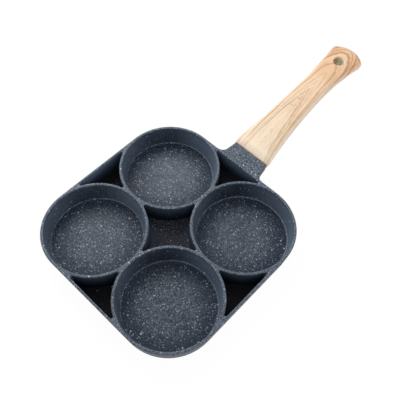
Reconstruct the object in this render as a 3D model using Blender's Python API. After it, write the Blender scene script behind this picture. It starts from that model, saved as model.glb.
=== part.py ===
"""Egg pan with four cups in one coated casting and a wood-look grip screwed to its tongue.

Lengths are in metres. +X runs along the handle and +Z is up. The origin is the centre of the flat base,
on the surface that the pan stands on.
"""

import math

import bmesh
import bpy
from mathutils import Matrix, Vector

MM = 0.001

# Finishes: base colour, roughness and metallic value
COATING = ((0.060, 0.070, 0.088), 0.45, 0.0)
WOOD_LOOK = ((0.78, 0.58, 0.37), 0.45, 0.0)
STEEL = ((0.62, 0.62, 0.63), 0.35, 1.0)

# Fits
GAP = 0.3 * MM  # air between two pieces that touch

# Cups and rim
CUP_MOUTH_RADIUS = 44.9 * MM
CUP_DEPTH = 20.0 * MM
CUP_DRAFT = math.radians(6.6)
CUP_FOOT_RADIUS = 2.2 * MM
SHARED_WALL = 3.2 * MM  # between two neighbouring cups, at the rim
RING_WALL = 2.7 * MM  # between a cup and a sump or the outside, at the rim
LIP_RADIUS = 0.95 * MM
FLOOR_THICKNESS = 2.5 * MM

# Sumps between the rings
SUMP_DRAFT = math.radians(2.5)
SUMP_FOOT_RADIUS = 1.6 * MM
SUMP_TIP_RADIUS = 1.4 * MM
SKIRT_WALL = 2.3 * MM

# Outside of the casting
SKIRT_DRAFT = math.radians(8.0)
BASE_EDGE_RADIUS = 5.0 * MM

# Neck
NECK_LENGTH = 16.0 * MM
NECK_RISE = 2.4 * MM  # of its top face, which curves up from the rim to the seam
NECK_HALF_WIDTH = 19.6 * MM  # at the seam
NECK_TAPER = math.radians(10.5)
NECK_THICKNESS = 7.4 * MM  # at the rim; the bottom face is level, so the neck is thicker at the seam
NECK_TOP_RADIUS = 2.2 * MM
NECK_BOTTOM_RADIUS = 3.0 * MM
NECK_ROOT_FILLET = 6.0 * MM
NECK_UNDER_FILLET = 9.0 * MM
NECK_START_INSET = 0.8 * MM  # from the outside of the skirt to where the top face leaves the rim
NECK_END_EDGE = 0.5 * MM  # rounding round its end face, at the seam

# Tongue that carries the grip
TONGUE_LENGTH = 30.0 * MM
TONGUE_HALF_WIDTH = 11.0 * MM
TONGUE_THICKNESS = 4.0 * MM
TONGUE_EDGE = 1.2 * MM
TONGUE_ROOT = 8.0 * MM  # how far it runs back into the neck
TONGUE_DROP = 3.9 * MM  # from the top face of the neck down to the tongue's axis, at the seam

# Grip
GRIP_LENGTH = 155.2 * MM
GRIP_PROUD = 0.2 * MM  # how far it stands out round the neck at the seam
GRIP_SHOULDER = 6.5 * MM  # from the seam to where it reaches its full section
GRIP_FRONT_EDGE = 0.7 * MM
GRIP_STEP = 2.8 * MM  # how far its top line, drawn on to the seam, would stand above the neck
GRIP_SLOPE = math.radians(17.5)
GRIP_RISE = 25.0 * MM  # of the top line, from the seam to the tail
GRIP_START_HANDLE = 64.0 * MM  # how far the top line holds its first slope
GRIP_END_HANDLE = 26.0 * MM  # how far the top line holds its level end
GRIP_FRONT_HALF_WIDTH = 21.4 * MM
GRIP_WAIST_HALF_WIDTH = 13.8 * MM
GRIP_WAIST_AT = 95.0 * MM
GRIP_TAIL_HALF_WIDTH = 18.2 * MM
GRIP_END_BULGE = 7.6 * MM
GRIP_CORNER_BLEND = 1.8 * MM
GRIP_CAP_CENTER = 20.0 * MM  # from the tail to the point that its rounded end is drawn in towards
GRIP_FRONT_THICKNESS = 15.0 * MM
GRIP_TAIL_THICKNESS = 14.0 * MM
GRIP_TOP_CROWN = 150.0 * MM  # radius of the top face across the grip
GRIP_TOP_EDGE = 4.0 * MM
GRIP_BELLY_INSET = 8.0 * MM  # from the widest line to the edge of the bottom face

# Hanging hole
HOLE_RADIUS = 5.4 * MM
HOLE_FROM_END = 23.2 * MM
HOLE_EDGE = 1.0 * MM

# Fixing screw and its split washer
SCREW_AT = 17.0 * MM  # along the tongue from the seam
SCREW_RADIUS = 2.5 * MM
SCREW_CHAMFER = 0.5 * MM
SCREW_HEAD_RADIUS = 4.3 * MM
SCREW_HEAD_HEIGHT = 2.0 * MM
SCREW_HEAD_EDGE = 0.8 * MM
SCREW_HEAD_SINK = 0.4 * MM  # below the grip's bottom face
SCREW_SHORT_OF_TOP = 0.6 * MM  # from the screw's tip to the tongue's top face
RECESS_SLACK = 0.8 * MM  # around the head in its counterbore
CROSS_HALF_LENGTH = 2.5 * MM
CROSS_HALF_WIDTH = 0.55 * MM
CROSS_DEPTH = 1.3 * MM
WASHER_THICKNESS = 0.8 * MM
WASHER_OUTER_RADIUS = 4.5 * MM
WASHER_SLIT = math.radians(16.0)

# Steel plate pressed into the base
PLATE_RADIUS = 66.0 * MM
PLATE_THICKNESS = 0.5 * MM
PLATE_HOLE_RADIUS = 3.4 * MM
PLATE_RING_PITCH = 18.5 * MM
PLATE_RINGS = 3
PLATE_HOLES_IN_FIRST_RING = 6

# Facets
CUP_SIDES = 48
CORNER_STEPS = 12
RING_ARC_STEPS = 8
TIP_STEPS = 4
EDGE_STEPS = 3
BEVEL_SEGMENTS = 2
BELLY_STEPS = 5
NECK_FILLET_STEPS = 6
SHOULDER_STEPS = 3
GRIP_SIDE_STEPS = 14
GRIP_COLUMNS = 2
GRIP_CORNER_STEPS = 4
GRIP_END_STEPS = 4
SMALL_SIDES = 10
SCREW_SIDES = 20
SHARP_ANGLE = math.radians(35.0)

# Working values
CUT_MARGIN = 3.0 * MM  # how far a cutter runs past the face that it opens
BISECTION_STEPS = 40

# Worked out from the sizes above
CUP_OFFSET = CUP_MOUTH_RADIUS + SHARED_WALL / 2
RING_RADIUS = CUP_MOUTH_RADIUS + RING_WALL
BODY_HALF = CUP_OFFSET + RING_RADIUS
RIM_Z = FLOOR_THICKNESS + CUP_DEPTH
SEAM_X = BODY_HALF + NECK_LENGTH
NECK_START_X = BODY_HALF - NECK_START_INSET
GRIP_X = SEAM_X + GAP
NECK_TOP_AT_SEAM = RIM_Z + NECK_RISE
NECK_END_THICKNESS = NECK_THICKNESS + NECK_RISE
NECK_SLOPE = math.atan(2 * NECK_RISE / (SEAM_X - NECK_START_X))  # of the top face at the seam
HOLE_X = GRIP_X + GRIP_LENGTH - HOLE_FROM_END


# Scene helpers


def clear_scene():
    for obj in list(bpy.data.objects):
        bpy.data.objects.remove(obj, do_unlink=True)


def make_material(name, color, roughness, metallic):
    material = bpy.data.materials.new(name)
    material.use_nodes = True
    shader = material.node_tree.nodes["Principled BSDF"]
    shader.inputs["Base Color"].default_value = (*color, 1.0)
    shader.inputs["Roughness"].default_value = roughness
    shader.inputs["Metallic"].default_value = metallic
    material.diffuse_color = (*color, 1.0)
    return material


def make_object(name, bm, material=None):
    bmesh.ops.recalc_face_normals(bm, faces=bm.faces)
    mesh = bpy.data.meshes.new(name)
    bm.to_mesh(mesh)
    bm.free()
    mesh.shade_smooth()
    mesh.set_sharp_from_angle(angle=SHARP_ANGLE)
    obj = bpy.data.objects.new(name, mesh)
    bpy.context.scene.collection.objects.link(obj)
    if material:
        mesh.materials.append(material)
    return obj


def as_cutter(obj):
    obj.hide_render = True
    obj.display_type = "WIRE"
    return obj


def combine(target, other, operation):
    modifier = target.modifiers.new(f"{operation.lower()}_{other.name}", "BOOLEAN")
    modifier.operation = operation
    modifier.object = as_cutter(other)
    modifier.solver = "EXACT"


# Mesh helpers


def bridge(bm, rings, closed=True):
    """Join rings of points, which all have the same count, with faces. Open rings leave a strip out."""
    loops = [[bm.verts.new(point) for point in ring] for ring in rings]
    for lower, upper in zip(loops, loops[1:]):
        count = len(lower)
        for i in range(count if closed else count - 1):
            j = (i + 1) % count
            bm.faces.new((lower[i], lower[j], upper[j], upper[i]))
    return loops


def loft(bm, rings):
    """Bridge closed rings of points and cap the two ends."""
    loops = bridge(bm, rings)
    bm.faces.new(loops[0])
    bm.faces.new(loops[-1])


def polar(center_x, center_y, radius, angle):
    return center_x + radius * math.cos(angle), center_y + radius * math.sin(angle)


def arc(center_x, center_y, radius, start, end, steps):
    """Points of an arc, both ends included, in the order from start to end."""
    angles = [start + (end - start) * step / steps for step in range(steps + 1)]
    return [polar(center_x, center_y, radius, angle) for angle in angles]


def circle(radius, sides, center_x=0.0, center_y=0.0):
    return arc(center_x, center_y, radius, 0.0, math.tau, sides)[:-1]


def turned(outline, quarter_turns):
    """The outline turned about the origin by a number of quarter turns."""
    for _ in range(quarter_turns):
        outline = [(-y, x) for x, y in outline]
    return outline


def at_height(outline, z):
    return [Vector((x, y, z)) for x, y in outline]


def cylinder(bm, radius, low, high, sides, center_x=0.0, center_y=0.0):
    outline = circle(radius, sides, center_x, center_y)
    loft(bm, [at_height(outline, low), at_height(outline, high)])


def round_edges(bm, edges, offset):
    bmesh.ops.bevel(
        bm, geom=edges, offset=offset, segments=BEVEL_SEGMENTS, profile=0.5, affect="EDGES"
    )


def last_below(is_below, low, high):
    """The value between low and high up to which is_below holds, found by bisection."""
    for _ in range(BISECTION_STEPS):
        middle = (low + high) / 2
        if is_below(middle):
            low = middle
        else:
            high = middle
    return low


def wall_curve(height, draft, foot_radius, lip):
    """(inset, z below the rim) of a wall from its rounded lip, down its draft, to its rounded foot.

    A positive lip rounds a solid's outer edge and a negative one flares the mouth of a pocket.
    """
    lip_height = abs(lip)
    points = []
    for step in range(EDGE_STEPS + 1):
        angle = math.pi / 2 * (1 - step / EDGE_STEPS)
        points.append((lip * (1 - math.cos(angle)), -lip_height * (1 - math.sin(angle))))
    center_drop = height - foot_radius
    center_inset = (center_drop - lip_height) * math.tan(draft) + foot_radius / math.cos(draft)
    for step in range(EDGE_STEPS + 1):
        angle = draft + (math.pi / 2 - draft) * step / EDGE_STEPS
        inset = center_inset - foot_radius * math.cos(angle)
        points.append((inset, -center_drop - foot_radius * math.sin(angle)))
    return points


# Casting: outlines


def body_outline(inset):
    """Rounded square whose corners run round the corner cups."""
    corner = arc(CUP_OFFSET, CUP_OFFSET, RING_RADIUS - inset, 0.0, math.pi / 2, CORNER_STEPS)
    return [point for quarter in range(4) for point in turned(corner, quarter)]


def centre_sump_outline(inset):
    """Four-pointed pocket between the four rings, with rounded tips on the X and Y axes."""
    ring = RING_RADIUS + inset
    reach = ring + SUMP_TIP_RADIUS
    tip_x = CUP_OFFSET - math.sqrt(reach**2 - CUP_OFFSET**2)
    lean = math.atan2(CUP_OFFSET, CUP_OFFSET - tip_x)
    quarter = arc(tip_x, 0.0, SUMP_TIP_RADIUS, -lean, lean, TIP_STEPS)
    ring_arc = arc(
        CUP_OFFSET, CUP_OFFSET, ring, lean - math.pi, -math.pi / 2 - lean, RING_ARC_STEPS
    )
    quarter += ring_arc[1:-1]
    return [point for turn in range(4) for point in turned(quarter, turn)]


def side_sump_outline(inset):
    """Three-pointed pocket between two rings and the skirt, on the +X side."""
    ring = RING_RADIUS + inset
    reach = ring + SUMP_TIP_RADIUS
    line_x = BODY_HALF - SKIRT_WALL - inset
    inner_x = CUP_OFFSET + math.sqrt(reach**2 - CUP_OFFSET**2)
    outer_x = line_x - SUMP_TIP_RADIUS
    outer_y = CUP_OFFSET - math.sqrt(reach**2 - (outer_x - CUP_OFFSET) ** 2)
    inner_lean = math.atan2(CUP_OFFSET, CUP_OFFSET - inner_x)
    outer_lean = math.atan2(CUP_OFFSET - outer_y, CUP_OFFSET - outer_x)
    upper = arc(outer_x, outer_y, SUMP_TIP_RADIUS, 0.0, outer_lean, TIP_STEPS)
    upper += arc(
        CUP_OFFSET, CUP_OFFSET, ring, outer_lean - math.pi, inner_lean - math.pi, RING_ARC_STEPS
    )[1:-1]
    tip = arc(inner_x, 0.0, SUMP_TIP_RADIUS, inner_lean, math.tau - inner_lean, TIP_STEPS)
    lower = [(x, -y) for x, y in reversed(upper)]
    return upper + tip + lower


# Casting: solids


def pocket(bm, outline_at, curve):
    """A cutter for one pocket: its walls follow the curve, and it runs on up past the rim."""
    rings = [at_height(outline_at(inset), RIM_Z + z) for inset, z in curve]
    mouth = [point + Vector((0.0, 0.0, CUT_MARGIN)) for point in rings[0]]
    loft(bm, [mouth] + rings)


def make_tray(material):
    bm = bmesh.new()
    curve = wall_curve(RIM_Z, SKIRT_DRAFT, BASE_EDGE_RADIUS, LIP_RADIUS)
    loft(bm, [at_height(body_outline(inset), RIM_Z + z) for inset, z in curve])
    return make_object("pan_body", bm, material)


def make_cup_cutter():
    bm = bmesh.new()
    curve = wall_curve(CUP_DEPTH, CUP_DRAFT, CUP_FOOT_RADIUS, -LIP_RADIUS)
    for side_x in (-1, 1):
        for side_y in (-1, 1):
            center = (side_x * CUP_OFFSET, side_y * CUP_OFFSET)
            pocket(bm, lambda inset: circle(CUP_MOUTH_RADIUS - inset, CUP_SIDES, *center), curve)
    return make_object("cup_cutter", bm)


def make_sump_cutter():
    bm = bmesh.new()
    curve = wall_curve(CUP_DEPTH, SUMP_DRAFT, SUMP_FOOT_RADIUS, -LIP_RADIUS)
    pocket(bm, centre_sump_outline, curve)
    for side in range(4):
        pocket(bm, lambda inset: turned(side_sump_outline(inset), side), curve)
    return make_object("sump_cutter", bm)


def rounding(radius, run):
    """How far an arc of this radius has drawn in after a run along it, from none up to the radius."""
    run = min(max(run, 0.0), radius)
    return radius - math.sqrt(radius**2 - run**2)


def neck_section(x):
    """Section of the neck across X: flat top, rounded edges, root fillets and a rounded end."""
    run = (x - NECK_START_X) / (SEAM_X - NECK_START_X)
    top = RIM_Z + NECK_RISE * run * abs(run)
    bottom = RIM_Z - NECK_THICKNESS - rounding(NECK_UNDER_FILLET, BODY_HALF + NECK_UNDER_FILLET - x)
    half_width = NECK_HALF_WIDTH + (SEAM_X - x) * math.tan(NECK_TAPER)
    half_width += rounding(NECK_ROOT_FILLET, BODY_HALF + NECK_ROOT_FILLET - x)
    end = rounding(NECK_END_EDGE, x - SEAM_X + NECK_END_EDGE)
    top_radius = NECK_TOP_RADIUS - end
    bottom_radius = NECK_BOTTOM_RADIUS - end
    top_side = half_width - NECK_TOP_RADIUS
    bottom_side = half_width - NECK_BOTTOM_RADIUS
    top_center = top - NECK_TOP_RADIUS
    bottom_center = bottom + NECK_BOTTOM_RADIUS
    corners = (
        (top_side, top_center, top_radius, 0.0),
        (-top_side, top_center, top_radius, math.pi / 2),
        (-bottom_side, bottom_center, bottom_radius, math.pi),
        (bottom_side, bottom_center, bottom_radius, math.pi * 1.5),
    )
    section = []
    for center_y, center_z, radius, start in corners:
        section += arc(center_y, center_z, radius, start, start + math.pi / 2, EDGE_STEPS)
    return [Vector((x, y, z)) for y, z in section]


def make_neck():
    """The neck as a loft from inside the skirt out to the seam, with closer sections where it curves."""
    stations = [BODY_HALF - 2 * SKIRT_WALL]
    for step in range(NECK_FILLET_STEPS + 1):
        angle = math.pi / 2 * step / NECK_FILLET_STEPS
        stations.append(BODY_HALF + NECK_UNDER_FILLET * (1 - math.cos(angle)))
    for step in range(EDGE_STEPS + 1):
        angle = math.pi / 2 * step / EDGE_STEPS
        stations.append(SEAM_X - NECK_END_EDGE * (1 - math.sin(angle)))
    bm = bmesh.new()
    loft(bm, [neck_section(x) for x in stations])
    return make_object("neck", bm)


# Tongue, its socket and its screw


def tongue_frame():
    """Placement of the tongue: its origin is on the seam, and its X runs up along the neck's slope."""
    place = Matrix.Translation((SEAM_X, 0.0, NECK_TOP_AT_SEAM - TONGUE_DROP))
    return place @ Matrix.Rotation(-NECK_SLOPE, 4, "Y")


def tongue_block(name, start, clearance):
    """The tongue grown by a clearance, from a start behind the seam to its end."""
    half_width = TONGUE_HALF_WIDTH + clearance
    half_height = TONGUE_THICKNESS / 2 + clearance
    length = TONGUE_LENGTH + clearance - start
    bm = bmesh.new()
    bmesh.ops.create_cube(bm, size=1.0)
    bmesh.ops.scale(bm, vec=(length, 2 * half_width, 2 * half_height), verts=bm.verts)
    bmesh.ops.translate(bm, vec=(start + length / 2, 0.0, 0.0), verts=bm.verts)
    round_edges(bm, bm.edges[:], TONGUE_EDGE)
    obj = make_object(name, bm)
    obj.matrix_world = tongue_frame()
    return obj


def screw_place():
    """Placement of the screw: its axis is square to the tongue and +Z points up into it."""
    return tongue_frame() @ Matrix.Translation((SCREW_AT, 0.0, 0.0))


def screw_bottom():
    """Where the head ends on the screw's axis, sunk into the grip's bottom face."""
    place = screw_place()

    def under_the_grip(z):
        point = place @ Vector((0.0, 0.0, z))
        return point.z < grip_bottom_face(point.x)

    return last_below(under_the_grip, -2 * GRIP_FRONT_THICKNESS, 0.0) + SCREW_HEAD_SINK


def head_top():
    return screw_bottom() + SCREW_HEAD_HEIGHT


def washer_top():
    return head_top() + GAP + WASHER_THICKNESS


def make_screw_bore(name, radius, low, high):
    bm = bmesh.new()
    cylinder(bm, radius, low, high, SCREW_SIDES)
    obj = make_object(name, bm)
    obj.matrix_world = screw_place()
    return obj


def make_screw(material):
    tip = TONGUE_THICKNESS / 2 - SCREW_SHORT_OF_TOP
    bottom = screw_bottom()
    edge_radius = SCREW_HEAD_RADIUS - SCREW_HEAD_EDGE
    edge_z = bottom + SCREW_HEAD_EDGE
    profile = arc(edge_radius, edge_z, SCREW_HEAD_EDGE, -math.pi / 2, 0.0, BEVEL_SEGMENTS)
    profile += [
        (SCREW_HEAD_RADIUS, head_top()),
        (SCREW_RADIUS, head_top()),
        (SCREW_RADIUS, tip - SCREW_CHAMFER),
        (SCREW_RADIUS - SCREW_CHAMFER, tip),
    ]
    bm = bmesh.new()
    loft(bm, [at_height(circle(radius, SCREW_SIDES), z) for radius, z in profile])
    screw = make_object("handle_screw", bm, material)
    screw.matrix_world = screw_place()

    bm = bmesh.new()
    low = bottom - CUT_MARGIN
    high = bottom + CROSS_DEPTH
    arm = [(CROSS_HALF_LENGTH, -CROSS_HALF_WIDTH), (CROSS_HALF_LENGTH, CROSS_HALF_WIDTH)]
    arm.append((CROSS_HALF_WIDTH, CROSS_HALF_WIDTH))
    cross = [point for quarter in range(4) for point in turned(arm, quarter)]
    loft(bm, [at_height(cross, low), at_height(cross, high)])
    cutter = make_object("cross_cutter", bm)
    cutter.matrix_world = screw_place()
    combine(screw, cutter, "DIFFERENCE")


def make_washer(material):
    """Split washer: a flat square section swept almost all the way round the screw."""
    inner = SCREW_RADIUS + GAP
    top = washer_top()
    low = top - WASHER_THICKNESS
    rings = []
    for step in range(SCREW_SIDES + 1):
        angle = WASHER_SLIT / 2 + (math.tau - WASHER_SLIT) * step / SCREW_SIDES
        corners = ((inner, low), (WASHER_OUTER_RADIUS, low), (WASHER_OUTER_RADIUS, top), (inner, top))
        rings.append([Vector((*polar(0.0, 0.0, radius, angle), z)) for radius, z in corners])
    bm = bmesh.new()
    loft(bm, rings)
    washer = make_object("split_washer", bm, material)
    washer.matrix_world = screw_place()


# Grip


def at_shoulder(along, full, at_seam, edges=1):
    """A size of the grip's section, eased to its value at the seam, less one or two rounded front edges."""
    left = 1 - min(along / GRIP_SHOULDER, 1.0)
    front = rounding(GRIP_FRONT_EDGE, GRIP_FRONT_EDGE - along)
    return full + (at_seam - full) * left**2 - front * edges


def grip_top(x):
    """Height of the top line: a cubic curve that starts on the slope and ends level, with its shoulder."""
    slope_run = GRIP_START_HANDLE * math.cos(GRIP_SLOPE)
    slope_rise = GRIP_START_HANDLE * math.sin(GRIP_SLOPE)
    xs = (0.0, slope_run, GRIP_LENGTH - GRIP_END_HANDLE, GRIP_LENGTH)
    zs = (0.0, slope_rise, GRIP_RISE, GRIP_RISE)
    along = min(max(x - GRIP_X, 0.0), GRIP_LENGTH)
    t = last_below(lambda t: cubic(xs, t) < along, 0.0, 1.0)
    return NECK_TOP_AT_SEAM + at_shoulder(along, GRIP_STEP, GRIP_PROUD) + cubic(zs, t)


def cubic(values, t):
    a, b, c, d = values
    s = 1 - t
    return s**3 * a + 3 * s * s * t * b + 3 * s * t * t * c + t**3 * d


def grip_thickness(x):
    along = x - GRIP_X
    share = along / GRIP_LENGTH
    full = GRIP_FRONT_THICKNESS + (GRIP_TAIL_THICKNESS - GRIP_FRONT_THICKNESS) * share
    return at_shoulder(along, full, NECK_END_THICKNESS + 2 * GRIP_PROUD, edges=2)


def grip_half_width(along):
    """Half width at a distance from the seam: a waist between the wide front and the flared tail."""
    corner_at = GRIP_LENGTH - GRIP_END_BULGE
    if along < GRIP_WAIST_AT:
        share = (GRIP_WAIST_AT - along) / GRIP_WAIST_AT
        full = GRIP_WAIST_HALF_WIDTH + (GRIP_FRONT_HALF_WIDTH - GRIP_WAIST_HALF_WIDTH) * share**2
        return at_shoulder(along, full, NECK_HALF_WIDTH + GRIP_PROUD)
    share = (along - GRIP_WAIST_AT) / (corner_at - GRIP_WAIST_AT)
    return GRIP_WAIST_HALF_WIDTH + (GRIP_TAIL_HALF_WIDTH - GRIP_WAIST_HALF_WIDTH) * share**2


def grip_side():
    """One side of the grip seen from above, from the seam round the corner to the tail's middle."""
    corner_at = GRIP_LENGTH - GRIP_END_BULGE
    end_radius = (GRIP_TAIL_HALF_WIDTH**2 + GRIP_END_BULGE**2) / (2 * GRIP_END_BULGE)
    half_angle = math.asin(GRIP_TAIL_HALF_WIDTH / end_radius)
    blend_angle = half_angle - GRIP_CORNER_BLEND / end_radius
    end_center = GRIP_LENGTH - end_radius
    last = corner_at - GRIP_CORNER_BLEND
    stations = []
    for step in range(EDGE_STEPS + 1):
        stations.append(GRIP_FRONT_EDGE * (1 - math.cos(math.pi / 2 * step / EDGE_STEPS)))
    for step in range(1, SHOULDER_STEPS):
        stations.append(GRIP_FRONT_EDGE + (GRIP_SHOULDER - GRIP_FRONT_EDGE) * step / SHOULDER_STEPS)
    for step in range(GRIP_SIDE_STEPS + 1):
        stations.append(GRIP_SHOULDER + (last - GRIP_SHOULDER) * step / GRIP_SIDE_STEPS)
    points = [(along, grip_half_width(along)) for along in stations]
    corner = Vector((corner_at, GRIP_TAIL_HALF_WIDTH))
    before = Vector(points[-1])
    after = Vector(polar(end_center, 0.0, end_radius, blend_angle))
    for step in range(1, GRIP_CORNER_STEPS):
        t = step / GRIP_CORNER_STEPS
        point = (1 - t) ** 2 * before + 2 * t * (1 - t) * corner + t * t * after
        points.append((point.x, point.y))
    points += arc(end_center, 0.0, end_radius, blend_angle, 0.0, GRIP_END_STEPS)
    return [(GRIP_X + along, half_width) for along, half_width in points]


def drawn_in(side, inset_at):
    """The side moved towards the grip's middle line, or round the tail towards the cap's centre."""
    cap_center = GRIP_X + GRIP_LENGTH - GRIP_CAP_CENTER
    moved = []
    for x, y in side:
        inward = Vector((min(x, cap_center) - x, -y))
        moved.append(Vector((x, y)) + inward.normalized() * inset_at(x))
    return moved


def grip_top_edge(x):
    return at_shoulder(x - GRIP_X, GRIP_TOP_EDGE, NECK_TOP_RADIUS + GRIP_PROUD)


def grip_belly_inset(x):
    return at_shoulder(x - GRIP_X, GRIP_BELLY_INSET, NECK_BOTTOM_RADIUS + GRIP_PROUD)


def grip_top_face(x, y):
    crown = at_shoulder(x - GRIP_X, 1 / GRIP_TOP_CROWN, 0.0, edges=0)
    return grip_top(x) - y * y * crown / 2


def grip_bottom_face(x, y=0.0):
    return grip_top(x) - grip_thickness(x)


def grip_rings(side):
    """Rings of the grip's skin from the edge of its top face to the edge of its bottom face."""
    rings = []
    for step in range(EDGE_STEPS + 1):
        angle = math.pi / 2 * (1 - step / EDGE_STEPS)
        ring = []
        for x, y in drawn_in(side, lambda x: grip_top_edge(x) * (1 - math.cos(angle))):
            ring.append((x, y, grip_top_face(x, y) - grip_top_edge(x) * (1 - math.sin(angle))))
        rings.append(ring)
    for step in range(1, BELLY_STEPS + 1):
        angle = math.pi / 2 * step / BELLY_STEPS
        line = drawn_in(side, lambda x: grip_belly_inset(x) * (1 - math.cos(angle)))
        ring = []
        for (_, _, widest), (x, y) in zip(rings[EDGE_STEPS], line):
            depth = (widest - grip_bottom_face(x)) * math.sin(angle)
            ring.append((x, y, widest - depth))
        rings.append(ring)
    return rings


def cover(bm, loop, face_height):
    """Close the top or the bottom with rows of faces across the grip. Gives the row at the front."""
    tail = len(loop) // 2
    rows = []
    for i in range(tail):
        left, right = loop[i], loop[len(loop) - 1 - i]
        row = [left]
        for step in range(1, GRIP_COLUMNS):
            y = left.co.y * (1 - 2 * step / GRIP_COLUMNS)
            row.append(bm.verts.new((left.co.x, y, face_height(left.co.x, y))))
        rows.append(row + [right])
    for row, after in zip(rows, rows[1:]):
        for step in range(GRIP_COLUMNS):
            bm.faces.new((row[step], row[step + 1], after[step + 1], after[step]))
    bm.faces.new(rows[-1] + [loop[tail]])
    return rows[0]


def grip_bmesh():
    """Closed skin of the grip with a flat front face at the seam."""
    rings = []
    for half_ring in grip_rings(grip_side()):
        mirrored = [(x, -y, z) for x, y, z in reversed(half_ring[:-1])]
        rings.append([Vector(point) for point in half_ring + mirrored])
    bm = bmesh.new()
    loops = bridge(bm, rings, closed=False)
    top_row = cover(bm, loops[0], grip_top_face)
    bottom_row = cover(bm, loops[-1], grip_bottom_face)
    right_side = [loop[-1] for loop in loops]
    left_side = [loop[0] for loop in loops]
    front = top_row + right_side[1:-1] + bottom_row[::-1] + left_side[-2:0:-1]
    bm.faces.new(front)
    return bm


def make_hole_cutter():
    """Turned cutter for the hanging hole, flared where it meets the top and bottom faces."""
    top = grip_top(HOLE_X)
    bottom = top - grip_thickness(HOLE_X)
    profile = [(HOLE_RADIUS + HOLE_EDGE + CUT_MARGIN, top + CUT_MARGIN)]
    profile += [(HOLE_RADIUS + HOLE_EDGE, top), (HOLE_RADIUS, top - HOLE_EDGE)]
    profile += [(HOLE_RADIUS, bottom + HOLE_EDGE), (HOLE_RADIUS + HOLE_EDGE, bottom)]
    profile += [(HOLE_RADIUS + HOLE_EDGE + CUT_MARGIN, bottom - CUT_MARGIN)]
    bm = bmesh.new()
    loft(bm, [at_height(circle(r, SCREW_SIDES, HOLE_X), z) for r, z in profile])
    return make_object("hole_cutter", bm)


def make_grip(material):
    grip = make_object("handle_grip", grip_bmesh(), material)
    combine(grip, tongue_block("socket_cutter", -CUT_MARGIN, GAP), "DIFFERENCE")
    shoulder = washer_top() + GAP
    bore_top = TONGUE_THICKNESS / 2
    bore = make_screw_bore("screw_bore_cutter", SCREW_RADIUS + GAP, shoulder - CUT_MARGIN, bore_top)
    combine(grip, bore, "DIFFERENCE")
    recess_radius = SCREW_HEAD_RADIUS + RECESS_SLACK
    recess_low = shoulder - GRIP_FRONT_THICKNESS
    recess = make_screw_bore("screw_recess_cutter", recess_radius, recess_low, shoulder)
    combine(grip, recess, "DIFFERENCE")
    combine(grip, make_hole_cutter(), "DIFFERENCE")


# Base plate


def plate_hole_places():
    places = []
    for ring in range(1, PLATE_RINGS + 1):
        count = PLATE_HOLES_IN_FIRST_RING * ring
        for step in range(count):
            places.append(polar(0.0, 0.0, ring * PLATE_RING_PITCH, math.tau * step / count))
    return places


def perforated_disc(name, radius, hole_radius, low, high, material=None):
    bm = bmesh.new()
    cylinder(bm, radius, low, high, CUP_SIDES)
    disc = make_object(name, bm, material)
    bm = bmesh.new()
    for x, y in plate_hole_places():
        cylinder(bm, hole_radius, low - CUT_MARGIN, high + CUT_MARGIN, SMALL_SIDES, x, y)
    combine(disc, make_object(name + "_holes", bm), "DIFFERENCE")
    return disc


def make_pan_body(material):
    body = make_tray(material)
    combine(body, make_neck(), "UNION")
    combine(body, tongue_block("tongue", -TONGUE_ROOT, 0.0), "UNION")
    combine(body, make_cup_cutter(), "DIFFERENCE")
    combine(body, make_sump_cutter(), "DIFFERENCE")
    thread = make_screw_bore(
        "thread_cutter", SCREW_RADIUS + GAP, -TONGUE_THICKNESS, TONGUE_THICKNESS
    )
    combine(body, thread, "DIFFERENCE")
    recess = perforated_disc(
        "plate_recess_cutter",
        PLATE_RADIUS + GAP,
        PLATE_HOLE_RADIUS - GAP,
        -CUT_MARGIN,
        PLATE_THICKNESS + GAP,
    )
    combine(body, recess, "DIFFERENCE")


def main():
    clear_scene()
    coating = make_material("coating", *COATING)
    wood_look = make_material("wood_look", *WOOD_LOOK)
    steel = make_material("steel", *STEEL)
    make_pan_body(coating)
    perforated_disc("base_plate", PLATE_RADIUS, PLATE_HOLE_RADIUS, 0.0, PLATE_THICKNESS, steel)
    make_grip(wood_look)
    make_screw(steel)
    make_washer(steel)


main()
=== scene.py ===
"""Looks of the egg pan: coated casting, wood-look grip, steel base plate, screw and split washer.

Lengths are in metres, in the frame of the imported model: +X runs along the handle and +Z is up.
Shader values that stand for a length are in millimetres.
"""

import math
import operator
from functools import reduce

import bmesh
import bpy
from mathutils import Matrix, Vector


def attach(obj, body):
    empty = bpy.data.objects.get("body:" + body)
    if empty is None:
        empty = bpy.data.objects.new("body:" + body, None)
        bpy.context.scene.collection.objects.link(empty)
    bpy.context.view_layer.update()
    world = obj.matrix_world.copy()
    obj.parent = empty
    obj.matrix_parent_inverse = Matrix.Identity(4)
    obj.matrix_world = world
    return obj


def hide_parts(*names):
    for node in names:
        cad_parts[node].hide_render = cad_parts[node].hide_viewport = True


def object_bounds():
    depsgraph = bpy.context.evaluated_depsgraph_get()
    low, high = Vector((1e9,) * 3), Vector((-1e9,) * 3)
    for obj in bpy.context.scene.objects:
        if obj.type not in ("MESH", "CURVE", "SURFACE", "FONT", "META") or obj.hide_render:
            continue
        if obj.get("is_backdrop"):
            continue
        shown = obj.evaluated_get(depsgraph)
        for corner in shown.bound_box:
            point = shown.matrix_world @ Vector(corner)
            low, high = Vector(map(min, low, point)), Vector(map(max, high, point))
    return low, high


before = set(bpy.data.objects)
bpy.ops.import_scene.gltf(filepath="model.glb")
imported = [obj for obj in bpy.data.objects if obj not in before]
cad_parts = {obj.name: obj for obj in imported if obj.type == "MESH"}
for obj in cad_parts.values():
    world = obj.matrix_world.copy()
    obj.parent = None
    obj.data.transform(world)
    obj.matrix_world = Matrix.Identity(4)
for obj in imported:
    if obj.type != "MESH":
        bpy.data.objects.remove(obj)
CAD_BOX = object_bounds()

MM = 0.001

# Fits
GAP = 0.3 * MM

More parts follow.
